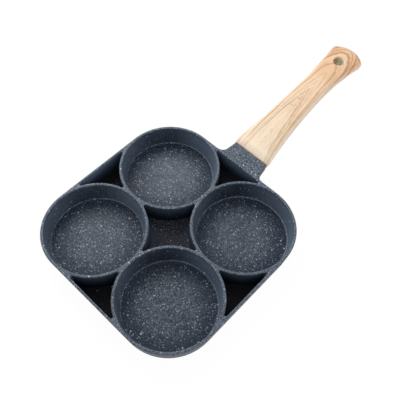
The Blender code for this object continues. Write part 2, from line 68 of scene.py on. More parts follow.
# Cups and rim
CUP_MOUTH_RADIUS = 44.9 * MM
CUP_DEPTH = 20.0 * MM
CUP_DRAFT = math.radians(6.6)
CUP_FOOT_RADIUS = 2.2 * MM
SHARED_WALL = 3.2 * MM
RING_WALL = 2.7 * MM
LIP_RADIUS = 0.95 * MM
FLOOR_THICKNESS = 2.5 * MM

# Sumps between the rings
SUMP_DRAFT = math.radians(2.5)
SUMP_FOOT_RADIUS = 1.6 * MM
SUMP_TIP_RADIUS = 1.4 * MM
SKIRT_WALL = 2.3 * MM

# Outside of the casting
SKIRT_DRAFT = math.radians(8.0)
BASE_EDGE_RADIUS = 5.0 * MM

# Neck
NECK_LENGTH = 16.0 * MM
NECK_RISE = 2.4 * MM
NECK_HALF_WIDTH = 19.6 * MM
NECK_TAPER = math.radians(10.5)
NECK_THICKNESS = 7.4 * MM
NECK_TOP_RADIUS = 2.2 * MM
NECK_BOTTOM_RADIUS = 3.0 * MM
NECK_ROOT_FILLET = 6.0 * MM
NECK_UNDER_FILLET = 9.0 * MM
NECK_START_INSET = 0.8 * MM
NECK_END_EDGE = 0.5 * MM

# Tongue that carries the grip
TONGUE_LENGTH = 30.0 * MM
TONGUE_HALF_WIDTH = 11.0 * MM
TONGUE_THICKNESS = 4.0 * MM
TONGUE_EDGE = 1.2 * MM
TONGUE_ROOT = 8.0 * MM
TONGUE_DROP = 3.9 * MM

# Grip
GRIP_LENGTH = 155.2 * MM
GRIP_PROUD = 0.2 * MM
GRIP_SHOULDER = 6.5 * MM
GRIP_FRONT_EDGE = 0.7 * MM
GRIP_STEP = 2.8 * MM
GRIP_SLOPE = math.radians(17.5)
GRIP_RISE = 25.0 * MM
GRIP_START_HANDLE = 64.0 * MM
GRIP_END_HANDLE = 26.0 * MM
GRIP_FRONT_HALF_WIDTH = 21.4 * MM
GRIP_WAIST_HALF_WIDTH = 13.8 * MM
GRIP_WAIST_AT = 95.0 * MM
GRIP_TAIL_HALF_WIDTH = 18.2 * MM
GRIP_END_BULGE = 7.6 * MM
GRIP_CORNER_BLEND = 1.8 * MM
GRIP_CAP_CENTER = 20.0 * MM
GRIP_FRONT_THICKNESS = 15.0 * MM
GRIP_TAIL_THICKNESS = 14.0 * MM
GRIP_TOP_CROWN = 150.0 * MM
GRIP_TOP_EDGE = 4.0 * MM
GRIP_BELLY_INSET = 8.0 * MM

# Hanging hole
HOLE_RADIUS = 5.4 * MM
HOLE_FROM_END = 23.2 * MM
HOLE_EDGE = 1.0 * MM

# Fixing screw and its split washer
SCREW_AT = 17.0 * MM
SCREW_RADIUS = 2.5 * MM
SCREW_CHAMFER = 0.5 * MM
SCREW_HEAD_RADIUS = 4.3 * MM
SCREW_HEAD_HEIGHT = 2.0 * MM
SCREW_HEAD_EDGE = 0.8 * MM
SCREW_HEAD_SINK = 0.4 * MM
SCREW_SHORT_OF_TOP = 0.6 * MM
THREAD_PITCH = 0.8 * MM
THREAD_DEPTH = 0.42 * MM
RECESS_SLACK = 0.8 * MM
CROSS_HALF_LENGTH = 2.5 * MM
CROSS_HALF_WIDTH = 0.55 * MM
CROSS_DEPTH = 1.3 * MM
WASHER_THICKNESS = 0.8 * MM
WASHER_OUTER_RADIUS = 4.5 * MM
WASHER_SLIT = math.radians(16.0)

# Steel plate pressed into the base
PLATE_RADIUS = 66.0 * MM
PLATE_THICKNESS = 0.5 * MM
PLATE_HOLE_RADIUS = 3.4 * MM
PLATE_RING_PITCH = 18.5 * MM
PLATE_RINGS = 3
PLATE_HOLES_IN_FIRST_RING = 6

# Fineness of the meshes
CUP_SIDES = 160
CORNER_STEPS = 40
RING_ARC_STEPS = 28
TIP_STEPS = 10
EDGE_STEPS = 8
NECK_STATIONS = 28
SHOULDER_STEPS = 14
GRIP_SIDE_STEPS = 90
GRIP_CORNER_STEPS = 10
GRIP_END_STEPS = 16
GRIP_COLUMNS = 12
BELLY_STEPS = 16
HOLE_SIDES = 72
SCREW_SIDES = 48
PLATE_SIDES = 160
PLATE_HOLE_SIDES = 32
SHARP_ANGLE = math.radians(32.0)
CUT_MARGIN = 3.0 * MM
SAME_POINT = 0.001 * MM
BISECTION_STEPS = 40

# Worked out from the sizes above
CUP_OFFSET = CUP_MOUTH_RADIUS + SHARED_WALL / 2
RING_RADIUS = CUP_MOUTH_RADIUS + RING_WALL
BODY_HALF = CUP_OFFSET + RING_RADIUS
RIM_Z = FLOOR_THICKNESS + CUP_DEPTH
SEAM_X = BODY_HALF + NECK_LENGTH
NECK_START_X = BODY_HALF - NECK_START_INSET
GRIP_X = SEAM_X + GAP
NECK_TOP_AT_SEAM = RIM_Z + NECK_RISE
NECK_END_THICKNESS = NECK_THICKNESS + NECK_RISE
NECK_SLOPE = math.atan(2 * NECK_RISE / (SEAM_X - NECK_START_X))
HOLE_X = GRIP_X + GRIP_LENGTH - HOLE_FROM_END

# Camera, as the photograph was taken
CAMERA_TARGET = Vector((0.0391, -0.0005, RIM_Z))
CAMERA_DISTANCE = 0.4978
CAMERA_AZIMUTH = math.radians(-47.90)
CAMERA_ELEVATION = math.radians(58.68)
CAMERA_ROLL = math.radians(1.75)
CAMERA_LENS = 49.10
CAMERA_CLIP_START = 0.01


# Mesh helpers

NOT_MOVED = Matrix.Identity(4)


def add_object(name, data):
    obj = bpy.data.objects.new(name, data)
    bpy.context.scene.collection.objects.link(obj)
    return obj


def new_object(name, bm):
    bmesh.ops.recalc_face_normals(bm, faces=bm.faces)
    mesh = bpy.data.meshes.new(name)
    bm.to_mesh(mesh)
    bm.free()
    return add_object(name, mesh)


def apply_modifiers(obj):
    graph = bpy.context.evaluated_depsgraph_get()
    mesh = bpy.data.meshes.new_from_object(obj.evaluated_get(graph))
    obj.modifiers.clear()
    obj.data = mesh
    obj.data.transform(obj.matrix_world)
    obj.matrix_world = NOT_MOVED


def cut(target, cutters, operation="DIFFERENCE"):
    """Combine the cutters with the target, apply the result and remove the cutters."""
    for cutter in cutters:
        modifier = target.modifiers.new(cutter.name, "BOOLEAN")
        modifier.operation = operation
        modifier.object = cutter
        modifier.solver = "EXACT"
    apply_modifiers(target)
    for cutter in cutters:
        bpy.data.objects.remove(cutter, do_unlink=True)


def smooth(obj):
    """Smooth shading that keeps true edges sharp and large flat faces flat. Gives the object."""
    obj.data.shade_smooth()
    obj.data.set_sharp_from_angle(angle=SHARP_ANGLE)
    modifier = obj.modifiers.new("weighted_normals", "WEIGHTED_NORMAL")
    modifier.keep_sharp = True
    return obj


def bridge(bm, rings, closed=True):
    """Join rings of points, all of one count, with faces. Open rings leave a strip out."""
    loops = [[bm.verts.new(point) for point in ring] for ring in rings]
    for lower, upper in zip(loops, loops[1:]):
        count = len(lower)
        for i in range(count if closed else count - 1):
            j = (i + 1) % count
            bm.faces.new((lower[i], lower[j], upper[j], upper[i]))
    return loops


def loft(bm, rings):
    loops = bridge(bm, rings)
    bm.faces.new(loops[0])
    bm.faces.new(loops[-1])


def lofted(name, rings, place=NOT_MOVED):
    """New object whose skin joins the rings, closed at both ends."""
    bm = bmesh.new()
    loft(bm, rings)
    obj = new_object(name, bm)
    obj.matrix_world = place
    return obj


def polar(center_x, center_y, radius, angle):
    return center_x + radius * math.cos(angle), center_y + radius * math.sin(angle)


def spread(start, end, steps):
    """Evenly spaced values from start to end, both included."""
    return [start + (end - start) * step / steps for step in range(steps + 1)]


def arc(center_x, center_y, radius, start, end, steps):
    return [polar(center_x, center_y, radius, angle) for angle in spread(start, end, steps)]


def circle(radius, sides, center_x=0.0, center_y=0.0):
    return arc(center_x, center_y, radius, 0.0, math.tau, sides)[:-1]


def turned(outline, quarter_turns):
    for _ in range(quarter_turns):
        outline = [(-y, x) for x, y in outline]
    return outline


def all_round(quarter):
    """The points of one quarter, turned to make all four."""
    return [point for turns in range(4) for point in turned(quarter, turns)]


def at_height(outline, z):
    return [Vector((x, y, z)) for x, y in outline]


def prism(outline, low, high):
    return [at_height(outline, low), at_height(outline, high)]


def last_below(is_below, low, high):
    """The value between low and high up to which is_below holds, found by bisection."""
    for _ in range(BISECTION_STEPS):
        middle = (low + high) / 2
        if is_below(middle):
            low = middle
        else:
            high = middle
    return low


def wall_curve(height, draft, foot_radius, lip):
    """(inset, z below the rim) of a wall from its rounded lip, down its draft, to its foot."""
    lip_height = abs(lip)
    points = []
    for angle in spread(math.pi / 2, 0.0, EDGE_STEPS):
        points.append((lip * (1 - math.cos(angle)), -lip_height * (1 - math.sin(angle))))
    center_drop = height - foot_radius
    center_inset = (center_drop - lip_height) * math.tan(draft) + foot_radius / math.cos(draft)
    for angle in spread(draft, math.pi / 2, EDGE_STEPS):
        inset = center_inset - foot_radius * math.cos(angle)
        points.append((inset, -center_drop - foot_radius * math.sin(angle)))
    return points


# Casting


def body_outline(inset):
    radius = RING_RADIUS - inset
    return all_round(arc(CUP_OFFSET, CUP_OFFSET, radius, 0.0, math.pi / 2, CORNER_STEPS))


def centre_sump_outline(inset):
    ring = RING_RADIUS + inset
    reach = ring + SUMP_TIP_RADIUS
    tip_x = CUP_OFFSET - math.sqrt(reach**2 - CUP_OFFSET**2)
    lean = math.atan2(CUP_OFFSET, CUP_OFFSET - tip_x)
    quarter = arc(tip_x, 0.0, SUMP_TIP_RADIUS, -lean, lean, TIP_STEPS)
    start, end = lean - math.pi, -math.pi / 2 - lean
    quarter += arc(CUP_OFFSET, CUP_OFFSET, ring, start, end, RING_ARC_STEPS)[1:-1]
    return all_round(quarter)


def side_sump_outline(inset):
    ring = RING_RADIUS + inset
    reach = ring + SUMP_TIP_RADIUS
    line_x = BODY_HALF - SKIRT_WALL - inset
    inner_x = CUP_OFFSET + math.sqrt(reach**2 - CUP_OFFSET**2)
    outer_x = line_x - SUMP_TIP_RADIUS
    outer_y = CUP_OFFSET - math.sqrt(reach**2 - (outer_x - CUP_OFFSET) ** 2)
    inner_lean = math.atan2(CUP_OFFSET, CUP_OFFSET - inner_x)
    outer_lean = math.atan2(CUP_OFFSET - outer_y, CUP_OFFSET - outer_x)
    upper = arc(outer_x, outer_y, SUMP_TIP_RADIUS, 0.0, outer_lean, TIP_STEPS)
    start, end = outer_lean - math.pi, inner_lean - math.pi
    upper += arc(CUP_OFFSET, CUP_OFFSET, ring, start, end, RING_ARC_STEPS)[1:-1]
    tip = arc(inner_x, 0.0, SUMP_TIP_RADIUS, inner_lean, math.tau - inner_lean, TIP_STEPS)
    lower = [(x, -y) for x, y in reversed(upper)]
    return upper + tip + lower


def pocket(bm, outline_at, curve):
    rings = [at_height(outline_at(inset), RIM_Z + z) for inset, z in curve]
    mouth = [point + Vector((0.0, 0.0, CUT_MARGIN)) for point in rings[0]]
    loft(bm, [mouth] + rings)


def make_tray():
    curve = wall_curve(RIM_Z, SKIRT_DRAFT, BASE_EDGE_RADIUS, LIP_RADIUS)
    rings = [at_height(body_outline(inset), RIM_Z + z) for inset, z in curve]
    return lofted("coated_casting", rings)


def make_pocket_cutter():
    bm = bmesh.new()
    curve = wall_curve(CUP_DEPTH, CUP_DRAFT, CUP_FOOT_RADIUS, -LIP_RADIUS)
    for side_x in (-1, 1):
        for side_y in (-1, 1):
            center = (side_x * CUP_OFFSET, side_y * CUP_OFFSET)
            pocket(bm, lambda inset: circle(CUP_MOUTH_RADIUS - inset, CUP_SIDES, *center), curve)
    curve = wall_curve(CUP_DEPTH, SUMP_DRAFT, SUMP_FOOT_RADIUS, -LIP_RADIUS)
    pocket(bm, centre_sump_outline, curve)
    for side in range(4):
        pocket(bm, lambda inset: turned(side_sump_outline(inset), side), curve)
    return new_object("pockets", bm)


def rounding(radius, run):
    """How far an arc of this radius has drawn in after a run along it, at most the radius."""
    run = min(max(run, 0.0), radius)
    return radius - math.sqrt(radius**2 - run**2)


def neck_section(x):
    """Section of the neck across X: flat top, rounded edges, root fillets and a rounded end."""
    run = (x - NECK_START_X) / (SEAM_X - NECK_START_X)
    top = RIM_Z + NECK_RISE * run * abs(run)
    bottom = RIM_Z - NECK_THICKNESS - rounding(NECK_UNDER_FILLET, BODY_HALF + NECK_UNDER_FILLET - x)
    half_width = NECK_HALF_WIDTH + (SEAM_X - x) * math.tan(NECK_TAPER)
    half_width += rounding(NECK_ROOT_FILLET, BODY_HALF + NECK_ROOT_FILLET - x)
    end = rounding(NECK_END_EDGE, x - SEAM_X + NECK_END_EDGE)
    upper = (NECK_TOP_RADIUS, top - NECK_TOP_RADIUS)
    lower = (NECK_BOTTOM_RADIUS, bottom + NECK_BOTTOM_RADIUS)
    corners = ((1, upper), (-1, upper), (-1, lower), (1, lower))
    section = []
    for turns, (side, (radius, center_z)) in enumerate(corners):
        center_y = side * (half_width - radius)
        start = turns * math.pi / 2
        section += arc(center_y, center_z, radius - end, start, start + math.pi / 2, EDGE_STEPS)
    return [Vector((x, y, z)) for y, z in section]


def make_neck():
    stations = [BODY_HALF - 2 * SKIRT_WALL]
    for angle in spread(0.0, math.pi / 2, NECK_STATIONS):
        stations.append(BODY_HALF + NECK_UNDER_FILLET * (1 - math.cos(angle)))
    for angle in spread(0.0, math.pi / 2, EDGE_STEPS):
        stations.append(SEAM_X - NECK_END_EDGE * (1 - math.sin(angle)))
    return lofted("neck", [neck_section(x) for x in stations])


def tongue_frame():
    """Placement of the tongue: its origin is on the seam, and its X runs up the neck's slope."""
    place = Matrix.Translation((SEAM_X, 0.0, NECK_TOP_AT_SEAM - TONGUE_DROP))
    return place @ Matrix.Rotation(-NECK_SLOPE, 4, "Y")


def tongue_block(name, start, clearance):
    half_width = TONGUE_HALF_WIDTH + clearance
    half_height = TONGUE_THICKNESS / 2 + clearance
    length = TONGUE_LENGTH + clearance - start
    bm = bmesh.new()
    bmesh.ops.create_cube(bm, size=1.0)
    bmesh.ops.scale(bm, vec=(length, 2 * half_width, 2 * half_height), verts=bm.verts)
    bmesh.ops.translate(bm, vec=(start + length / 2, 0.0, 0.0), verts=bm.verts)
    bmesh.ops.bevel(
        bm, geom=bm.edges[:], offset=TONGUE_EDGE, segments=EDGE_STEPS, profile=0.5, affect="EDGES"
    )
    obj = new_object(name, bm)
    obj.matrix_world = tongue_frame()
    return obj


def make_screw_bore(name, radius, low, high):
    return lofted(name, prism(circle(radius, SCREW_SIDES), low, high), screw_place())


def perforated_disc(name, radius, hole_radius, low, high):
    disc = lofted(name, prism(circle(radius, PLATE_SIDES), low, high))
    bm = bmesh.new()
    for ring in range(1, PLATE_RINGS + 1):
        count = PLATE_HOLES_IN_FIRST_RING * ring
        for step in range(count):
            center = polar(0.0, 0.0, ring * PLATE_RING_PITCH, math.tau * step / count)
            outline = circle(hole_radius, PLATE_HOLE_SIDES, *center)
            loft(bm, prism(outline, low - CUT_MARGIN, high + CUT_MARGIN))
    cut(disc, [new_object(name + "_holes", bm)])
    return disc


def make_casting():
    body = make_tray()
    cut(body, [make_neck(), tongue_block("tongue", -TONGUE_ROOT, 0.0)], "UNION")
    thread = make_screw_bore("thread", SCREW_RADIUS + GAP, -TONGUE_THICKNESS, TONGUE_THICKNESS)
    sizes = (PLATE_RADIUS + GAP, PLATE_HOLE_RADIUS - GAP, -CUT_MARGIN, PLATE_THICKNESS + GAP)
    cut(body, [make_pocket_cutter(), thread, perforated_disc("recess", *sizes)])
    return smooth(body)


# Grip


def cubic(values, t):
    a, b, c, d = values
    s = 1 - t
    return s**3 * a + 3 * s * s * t * b + 3 * s * t * t * c + t**3 * d


def at_shoulder(along, full, at_seam, edges=1):
    """A size of the grip's section, eased to its value at the seam, less its front edges."""
    left = 1 - min(along / GRIP_SHOULDER, 1.0)
    front = rounding(GRIP_FRONT_EDGE, GRIP_FRONT_EDGE - along)
    return full + (at_seam - full) * left**2 - front * edges


def grip_top(x):
    """Height of the top line: its shoulder, and a cubic curve from the slope to a level end."""
    slope_run = GRIP_START_HANDLE * math.cos(GRIP_SLOPE)
    slope_rise = GRIP_START_HANDLE * math.sin(GRIP_SLOPE)
    xs = (0.0, slope_run, GRIP_LENGTH - GRIP_END_HANDLE, GRIP_LENGTH)
    zs = (0.0, slope_rise, GRIP_RISE, GRIP_RISE)
    along = min(max(x - GRIP_X, 0.0), GRIP_LENGTH)
    t = last_below(lambda t: cubic(xs, t) < along, 0.0, 1.0)
    return NECK_TOP_AT_SEAM + at_shoulder(along, GRIP_STEP, GRIP_PROUD) + cubic(zs, t)


def grip_thickness(x):
    along = x - GRIP_X
    share = along / GRIP_LENGTH
    full = GRIP_FRONT_THICKNESS + (GRIP_TAIL_THICKNESS - GRIP_FRONT_THICKNESS) * share
    return at_shoulder(along, full, NECK_END_THICKNESS + 2 * GRIP_PROUD, edges=2)


def grip_half_width(along):
    end, half_width = 0.0, GRIP_FRONT_HALF_WIDTH
    if along > GRIP_WAIST_AT:
        end, half_width = GRIP_LENGTH - GRIP_END_BULGE, GRIP_TAIL_HALF_WIDTH
    share = (along - GRIP_WAIST_AT) / (end - GRIP_WAIST_AT)
    full = GRIP_WAIST_HALF_WIDTH + (half_width - GRIP_WAIST_HALF_WIDTH) * share**2
    return at_shoulder(along, full, NECK_HALF_WIDTH + GRIP_PROUD)


def grip_side():
    """One side of the grip seen from above, from the seam round the corner to the tail's middle."""
    corner_at = GRIP_LENGTH - GRIP_END_BULGE
    end_radius = (GRIP_TAIL_HALF_WIDTH**2 + GRIP_END_BULGE**2) / (2 * GRIP_END_BULGE)
    half_angle = math.asin(GRIP_TAIL_HALF_WIDTH / end_radius)
    blend_angle = half_angle - GRIP_CORNER_BLEND / end_radius
    end_center = GRIP_LENGTH - end_radius
    last = corner_at - GRIP_CORNER_BLEND
    angles = spread(0.0, math.pi / 2, EDGE_STEPS)
    stations = [GRIP_FRONT_EDGE * (1 - math.cos(angle)) for angle in angles]
    stations += spread(GRIP_FRONT_EDGE, GRIP_SHOULDER, SHOULDER_STEPS)[1:-1]
    stations += spread(GRIP_SHOULDER, last, GRIP_SIDE_STEPS)
    points = [(along, grip_half_width(along)) for along in stations]
    corner = Vector((corner_at, GRIP_TAIL_HALF_WIDTH))
    before = Vector(points[-1])
    after = Vector(polar(end_center, 0.0, end_radius, blend_angle))
    for t in spread(0.0, 1.0, GRIP_CORNER_STEPS)[1:-1]:
        point = (1 - t) ** 2 * before + 2 * t * (1 - t) * corner + t * t * after
        points.append((point.x, point.y))
    points += arc(end_center, 0.0, end_radius, blend_angle, 0.0, GRIP_END_STEPS)
    return [(GRIP_X + along, half_width) for along, half_width in points]


def drawn_in(side, inset_at):
    """The side moved towards the grip's middle line, or round the tail towards the cap's centre."""
    cap_center = GRIP_X + GRIP_LENGTH - GRIP_CAP_CENTER
    moved = []
    for x, y in side:
        inward = Vector((min(x, cap_center) - x, -y))
        moved.append(Vector((x, y)) + inward.normalized() * inset_at(x))
    return moved


def grip_top_edge(x):
    return at_shoulder(x - GRIP_X, GRIP_TOP_EDGE, NECK_TOP_RADIUS + GRIP_PROUD)


def grip_belly_inset(x):
    return at_shoulder(x - GRIP_X, GRIP_BELLY_INSET, NECK_BOTTOM_RADIUS + GRIP_PROUD)


def grip_top_face(x, y):
    crown = at_shoulder(x - GRIP_X, 1 / GRIP_TOP_CROWN, 0.0, edges=0)
    return grip_top(x) - y * y * crown / 2


def grip_bottom_face(x, y=0.0):
    return grip_top(x) - grip_thickness(x)


def grip_rings(side):
    """Rings of the grip's skin from the edge of its top face to the edge of its bottom face."""
    rings = []
    for angle in spread(math.pi / 2, 0.0, EDGE_STEPS):
        ring = []
        for x, y in drawn_in(side, lambda x: grip_top_edge(x) * (1 - math.cos(angle))):
            ring.append((x, y, grip_top_face(x, y) - grip_top_edge(x) * (1 - math.sin(angle))))
        rings.append(ring)
    for angle in spread(0.0, math.pi / 2, BELLY_STEPS)[1:]:
        line = drawn_in(side, lambda x: grip_belly_inset(x) * (1 - math.cos(angle)))
        ring = []
        for (_, _, widest), (x, y) in zip(rings[EDGE_STEPS], line):
            depth = (widest - grip_bottom_face(x)) * math.sin(angle)
            ring.append((x, y, widest - depth))
        rings.append(ring)
    return rings


def cover(bm, loop, face_height):
    """Close the top or the bottom with rows of faces across. Gives the row at the front."""
    tail = len(loop) // 2
    rows = []
    for i in range(tail):
        left, right = loop[i], loop[len(loop) - 1 - i]
        row = [left]
        for step in range(1, GRIP_COLUMNS):
            y = left.co.y * (1 - 2 * step / GRIP_COLUMNS)
            row.append(bm.verts.new((left.co.x, y, face_height(left.co.x, y))))
        rows.append(row + [right])
    for row, after in zip(rows, rows[1:]):
        for step in range(GRIP_COLUMNS):
            bm.faces.new((row[step], row[step + 1], after[step + 1], after[step]))
    bm.faces.new(rows[-1] + [loop[tail]])
    return rows[0]


def grip_bmesh():
    """Closed skin of the grip with a flat front face at the seam."""
    rings = []
    for half_ring in grip_rings(grip_side()):
        mirrored = [(x, -y, z) for x, y, z in reversed(half_ring[:-1])]
        rings.append([Vector(point) for point in half_ring + mirrored])
    bm = bmesh.new()
    loops = bridge(bm, rings, closed=False)
    top_row = cover(bm, loops[0], grip_top_face)
    bottom_row = cover(bm, loops[-1], grip_bottom_face)
    right_side = [loop[-1] for loop in loops]
    left_side = [loop[0] for loop in loops]
    front = top_row + right_side[1:-1] + bottom_row[::-1] + left_side[-2:0:-1]
    bm.faces.new(front)
    return bm


def make_hole_cutter():
    """Turned cutter for the hanging hole, whose edges are rounded at the top and bottom faces."""
    top = grip_top(HOLE_X)
    bottom = grip_bottom_face(HOLE_X)
    edge_center = HOLE_RADIUS + HOLE_EDGE
    profile = [
        (edge_center, top + CUT_MARGIN),
        *arc(edge_center, top - HOLE_EDGE, HOLE_EDGE, math.pi / 2, math.pi, EDGE_STEPS),
        *arc(edge_center, bottom + HOLE_EDGE, HOLE_EDGE, math.pi, math.pi * 1.5, EDGE_STEPS),
        (edge_center, bottom - CUT_MARGIN),
    ]
    return lofted("hole", [at_height(circle(r, HOLE_SIDES, HOLE_X), z) for r, z in profile])


def make_grip():
    grip = new_object("wood_look_grip", grip_bmesh())
    shoulder = washer_top() + GAP
    bore_top = TONGUE_THICKNESS / 2
    recess_radius = SCREW_HEAD_RADIUS + RECESS_SLACK
    recess_low = shoulder - GRIP_FRONT_THICKNESS
    cutters = [
        tongue_block("socket", -CUT_MARGIN, GAP),
        make_screw_bore("bore", SCREW_RADIUS + GAP, shoulder - CUT_MARGIN, bore_top),
        make_screw_bore("counterbore", recess_radius, recess_low, shoulder),
        make_hole_cutter(),
    ]
    cut(grip, cutters)
    return smooth(grip)


# Screw and washer


def screw_place():
    """Placement of the screw: its axis is square to the tongue and +Z points up into it."""
    return tongue_frame() @ Matrix.Translation((SCREW_AT, 0.0, 0.0))


def screw_bottom():
    place = screw_place()

    def under_the_grip(z):
        point = place @ Vector((0.0, 0.0, z))
        return point.z < grip_bottom_face(point.x)

    return last_below(under_the_grip, -2 * GRIP_FRONT_THICKNESS, 0.0) + SCREW_HEAD_SINK


def head_top():
    return screw_bottom() + SCREW_HEAD_HEIGHT


def washer_top():
    return head_top() + GAP + WASHER_THICKNESS


def thread_radius(z, angle, start, end):
    """Radius of the threaded shank: a helical ridge that runs out at both ends."""
    turns = (z - start) / THREAD_PITCH - angle / math.tau
    ridge = 1 - abs(2 * (turns % 1.0) - 1)
    runout = min(z - start, end - z, THREAD_PITCH) / THREAD_PITCH
    return SCREW_RADIUS - THREAD_DEPTH * (1 - ridge) * max(runout, 0.0)


def make_screw():
    tip = TONGUE_THICKNESS / 2 - SCREW_SHORT_OF_TOP
    bottom = screw_bottom()
    shank_low = head_top()
    shank_high = tip - SCREW_CHAMFER
    edge_radius = SCREW_HEAD_RADIUS - SCREW_HEAD_EDGE
    edge_z = bottom + SCREW_HEAD_EDGE
    profile = arc(edge_radius, edge_z, SCREW_HEAD_EDGE, -math.pi / 2, 0.0, EDGE_STEPS)
    profile += [(SCREW_HEAD_RADIUS, shank_low), (SCREW_RADIUS, shank_low)]
    rings = [at_height(circle(radius, SCREW_SIDES), z) for radius, z in profile]
    steps = round((shank_high - shank_low) / (THREAD_PITCH / EDGE_STEPS))
    for z in spread(shank_low, shank_high, steps)[1:]:
        ring = []
        for angle in spread(0.0, math.tau, SCREW_SIDES)[:-1]:
            radius = thread_radius(z, angle, shank_low, shank_high)
            ring.append(Vector((*polar(0.0, 0.0, radius, angle), z)))
        rings.append(ring)
    rings.append(at_height(circle(SCREW_RADIUS - SCREW_CHAMFER, SCREW_SIDES), tip))
    screw = lofted("cross_head_screw", rings, screw_place())

    arm = [(CROSS_HALF_LENGTH, -CROSS_HALF_WIDTH), (CROSS_HALF_LENGTH, CROSS_HALF_WIDTH)]
    cross = all_round(arm + [(CROSS_HALF_WIDTH, CROSS_HALF_WIDTH)])
    cross_prism = prism(cross, bottom - CUT_MARGIN, bottom + CROSS_DEPTH)
    cut(screw, [lofted("cross", cross_prism, screw_place())])
    return smooth(screw)


def make_washer():
    """Split washer: a flat square section swept almost all the way round the screw."""
    inner, outer = SCREW_RADIUS + GAP, WASHER_OUTER_RADIUS
    top = washer_top()
    low = top - WASHER_THICKNESS
    section = ((inner, low), (outer, low), (outer, top), (inner, top))
    rings = []
    for angle in spread(WASHER_SLIT / 2, math.tau - WASHER_SLIT / 2, SCREW_SIDES):
        rings.append([Vector((*polar(0.0, 0.0, radius, angle), z)) for radius, z in section])
    washer = lofted("spring_washer", rings, screw_place())
    apply_modifiers(washer)
    return smooth(washer)


def make_plate():
    sizes = (PLATE_RADIUS, PLATE_HOLE_RADIUS, 0.0, PLATE_THICKNESS)
    return smooth(perforated_disc("turned_base_plate", *sizes))


# Shader helpers


class Value:
    """Output of a shader node. A sum, product or the like adds the node that works it out."""

    def __init__(self, shader, socket):
        self.shader = shader
        self.socket = socket

    def math(self, operation, *others):
        return self.shader.math(operation, self, *others)

    def __add__(self, other):
        return self.math("ADD", other)

    def __sub__(self, other):
        return self.math("SUBTRACT", other)

    def __rsub__(self, other):
        return self.shader.math("SUBTRACT", other, self)

    def __mul__(self, other):
        return self.math("MULTIPLY", other)

    def __truediv__(self, other):
        return self.math("DIVIDE", other)

    def __abs__(self):
        return self.math("ABSOLUTE")

    __radd__ = __add__

    def fade(self, start, end, to_start=0.0, to_end=1.0):
        """Smooth step: to_start where the value is at start, to_end at end, level past both."""
        inputs = {0: self, 1: start, 2: end, 3: to_start, 4: to_end}
        return self.shader.add("ShaderNodeMapRange", inputs, interpolation_type="SMOOTHSTEP")


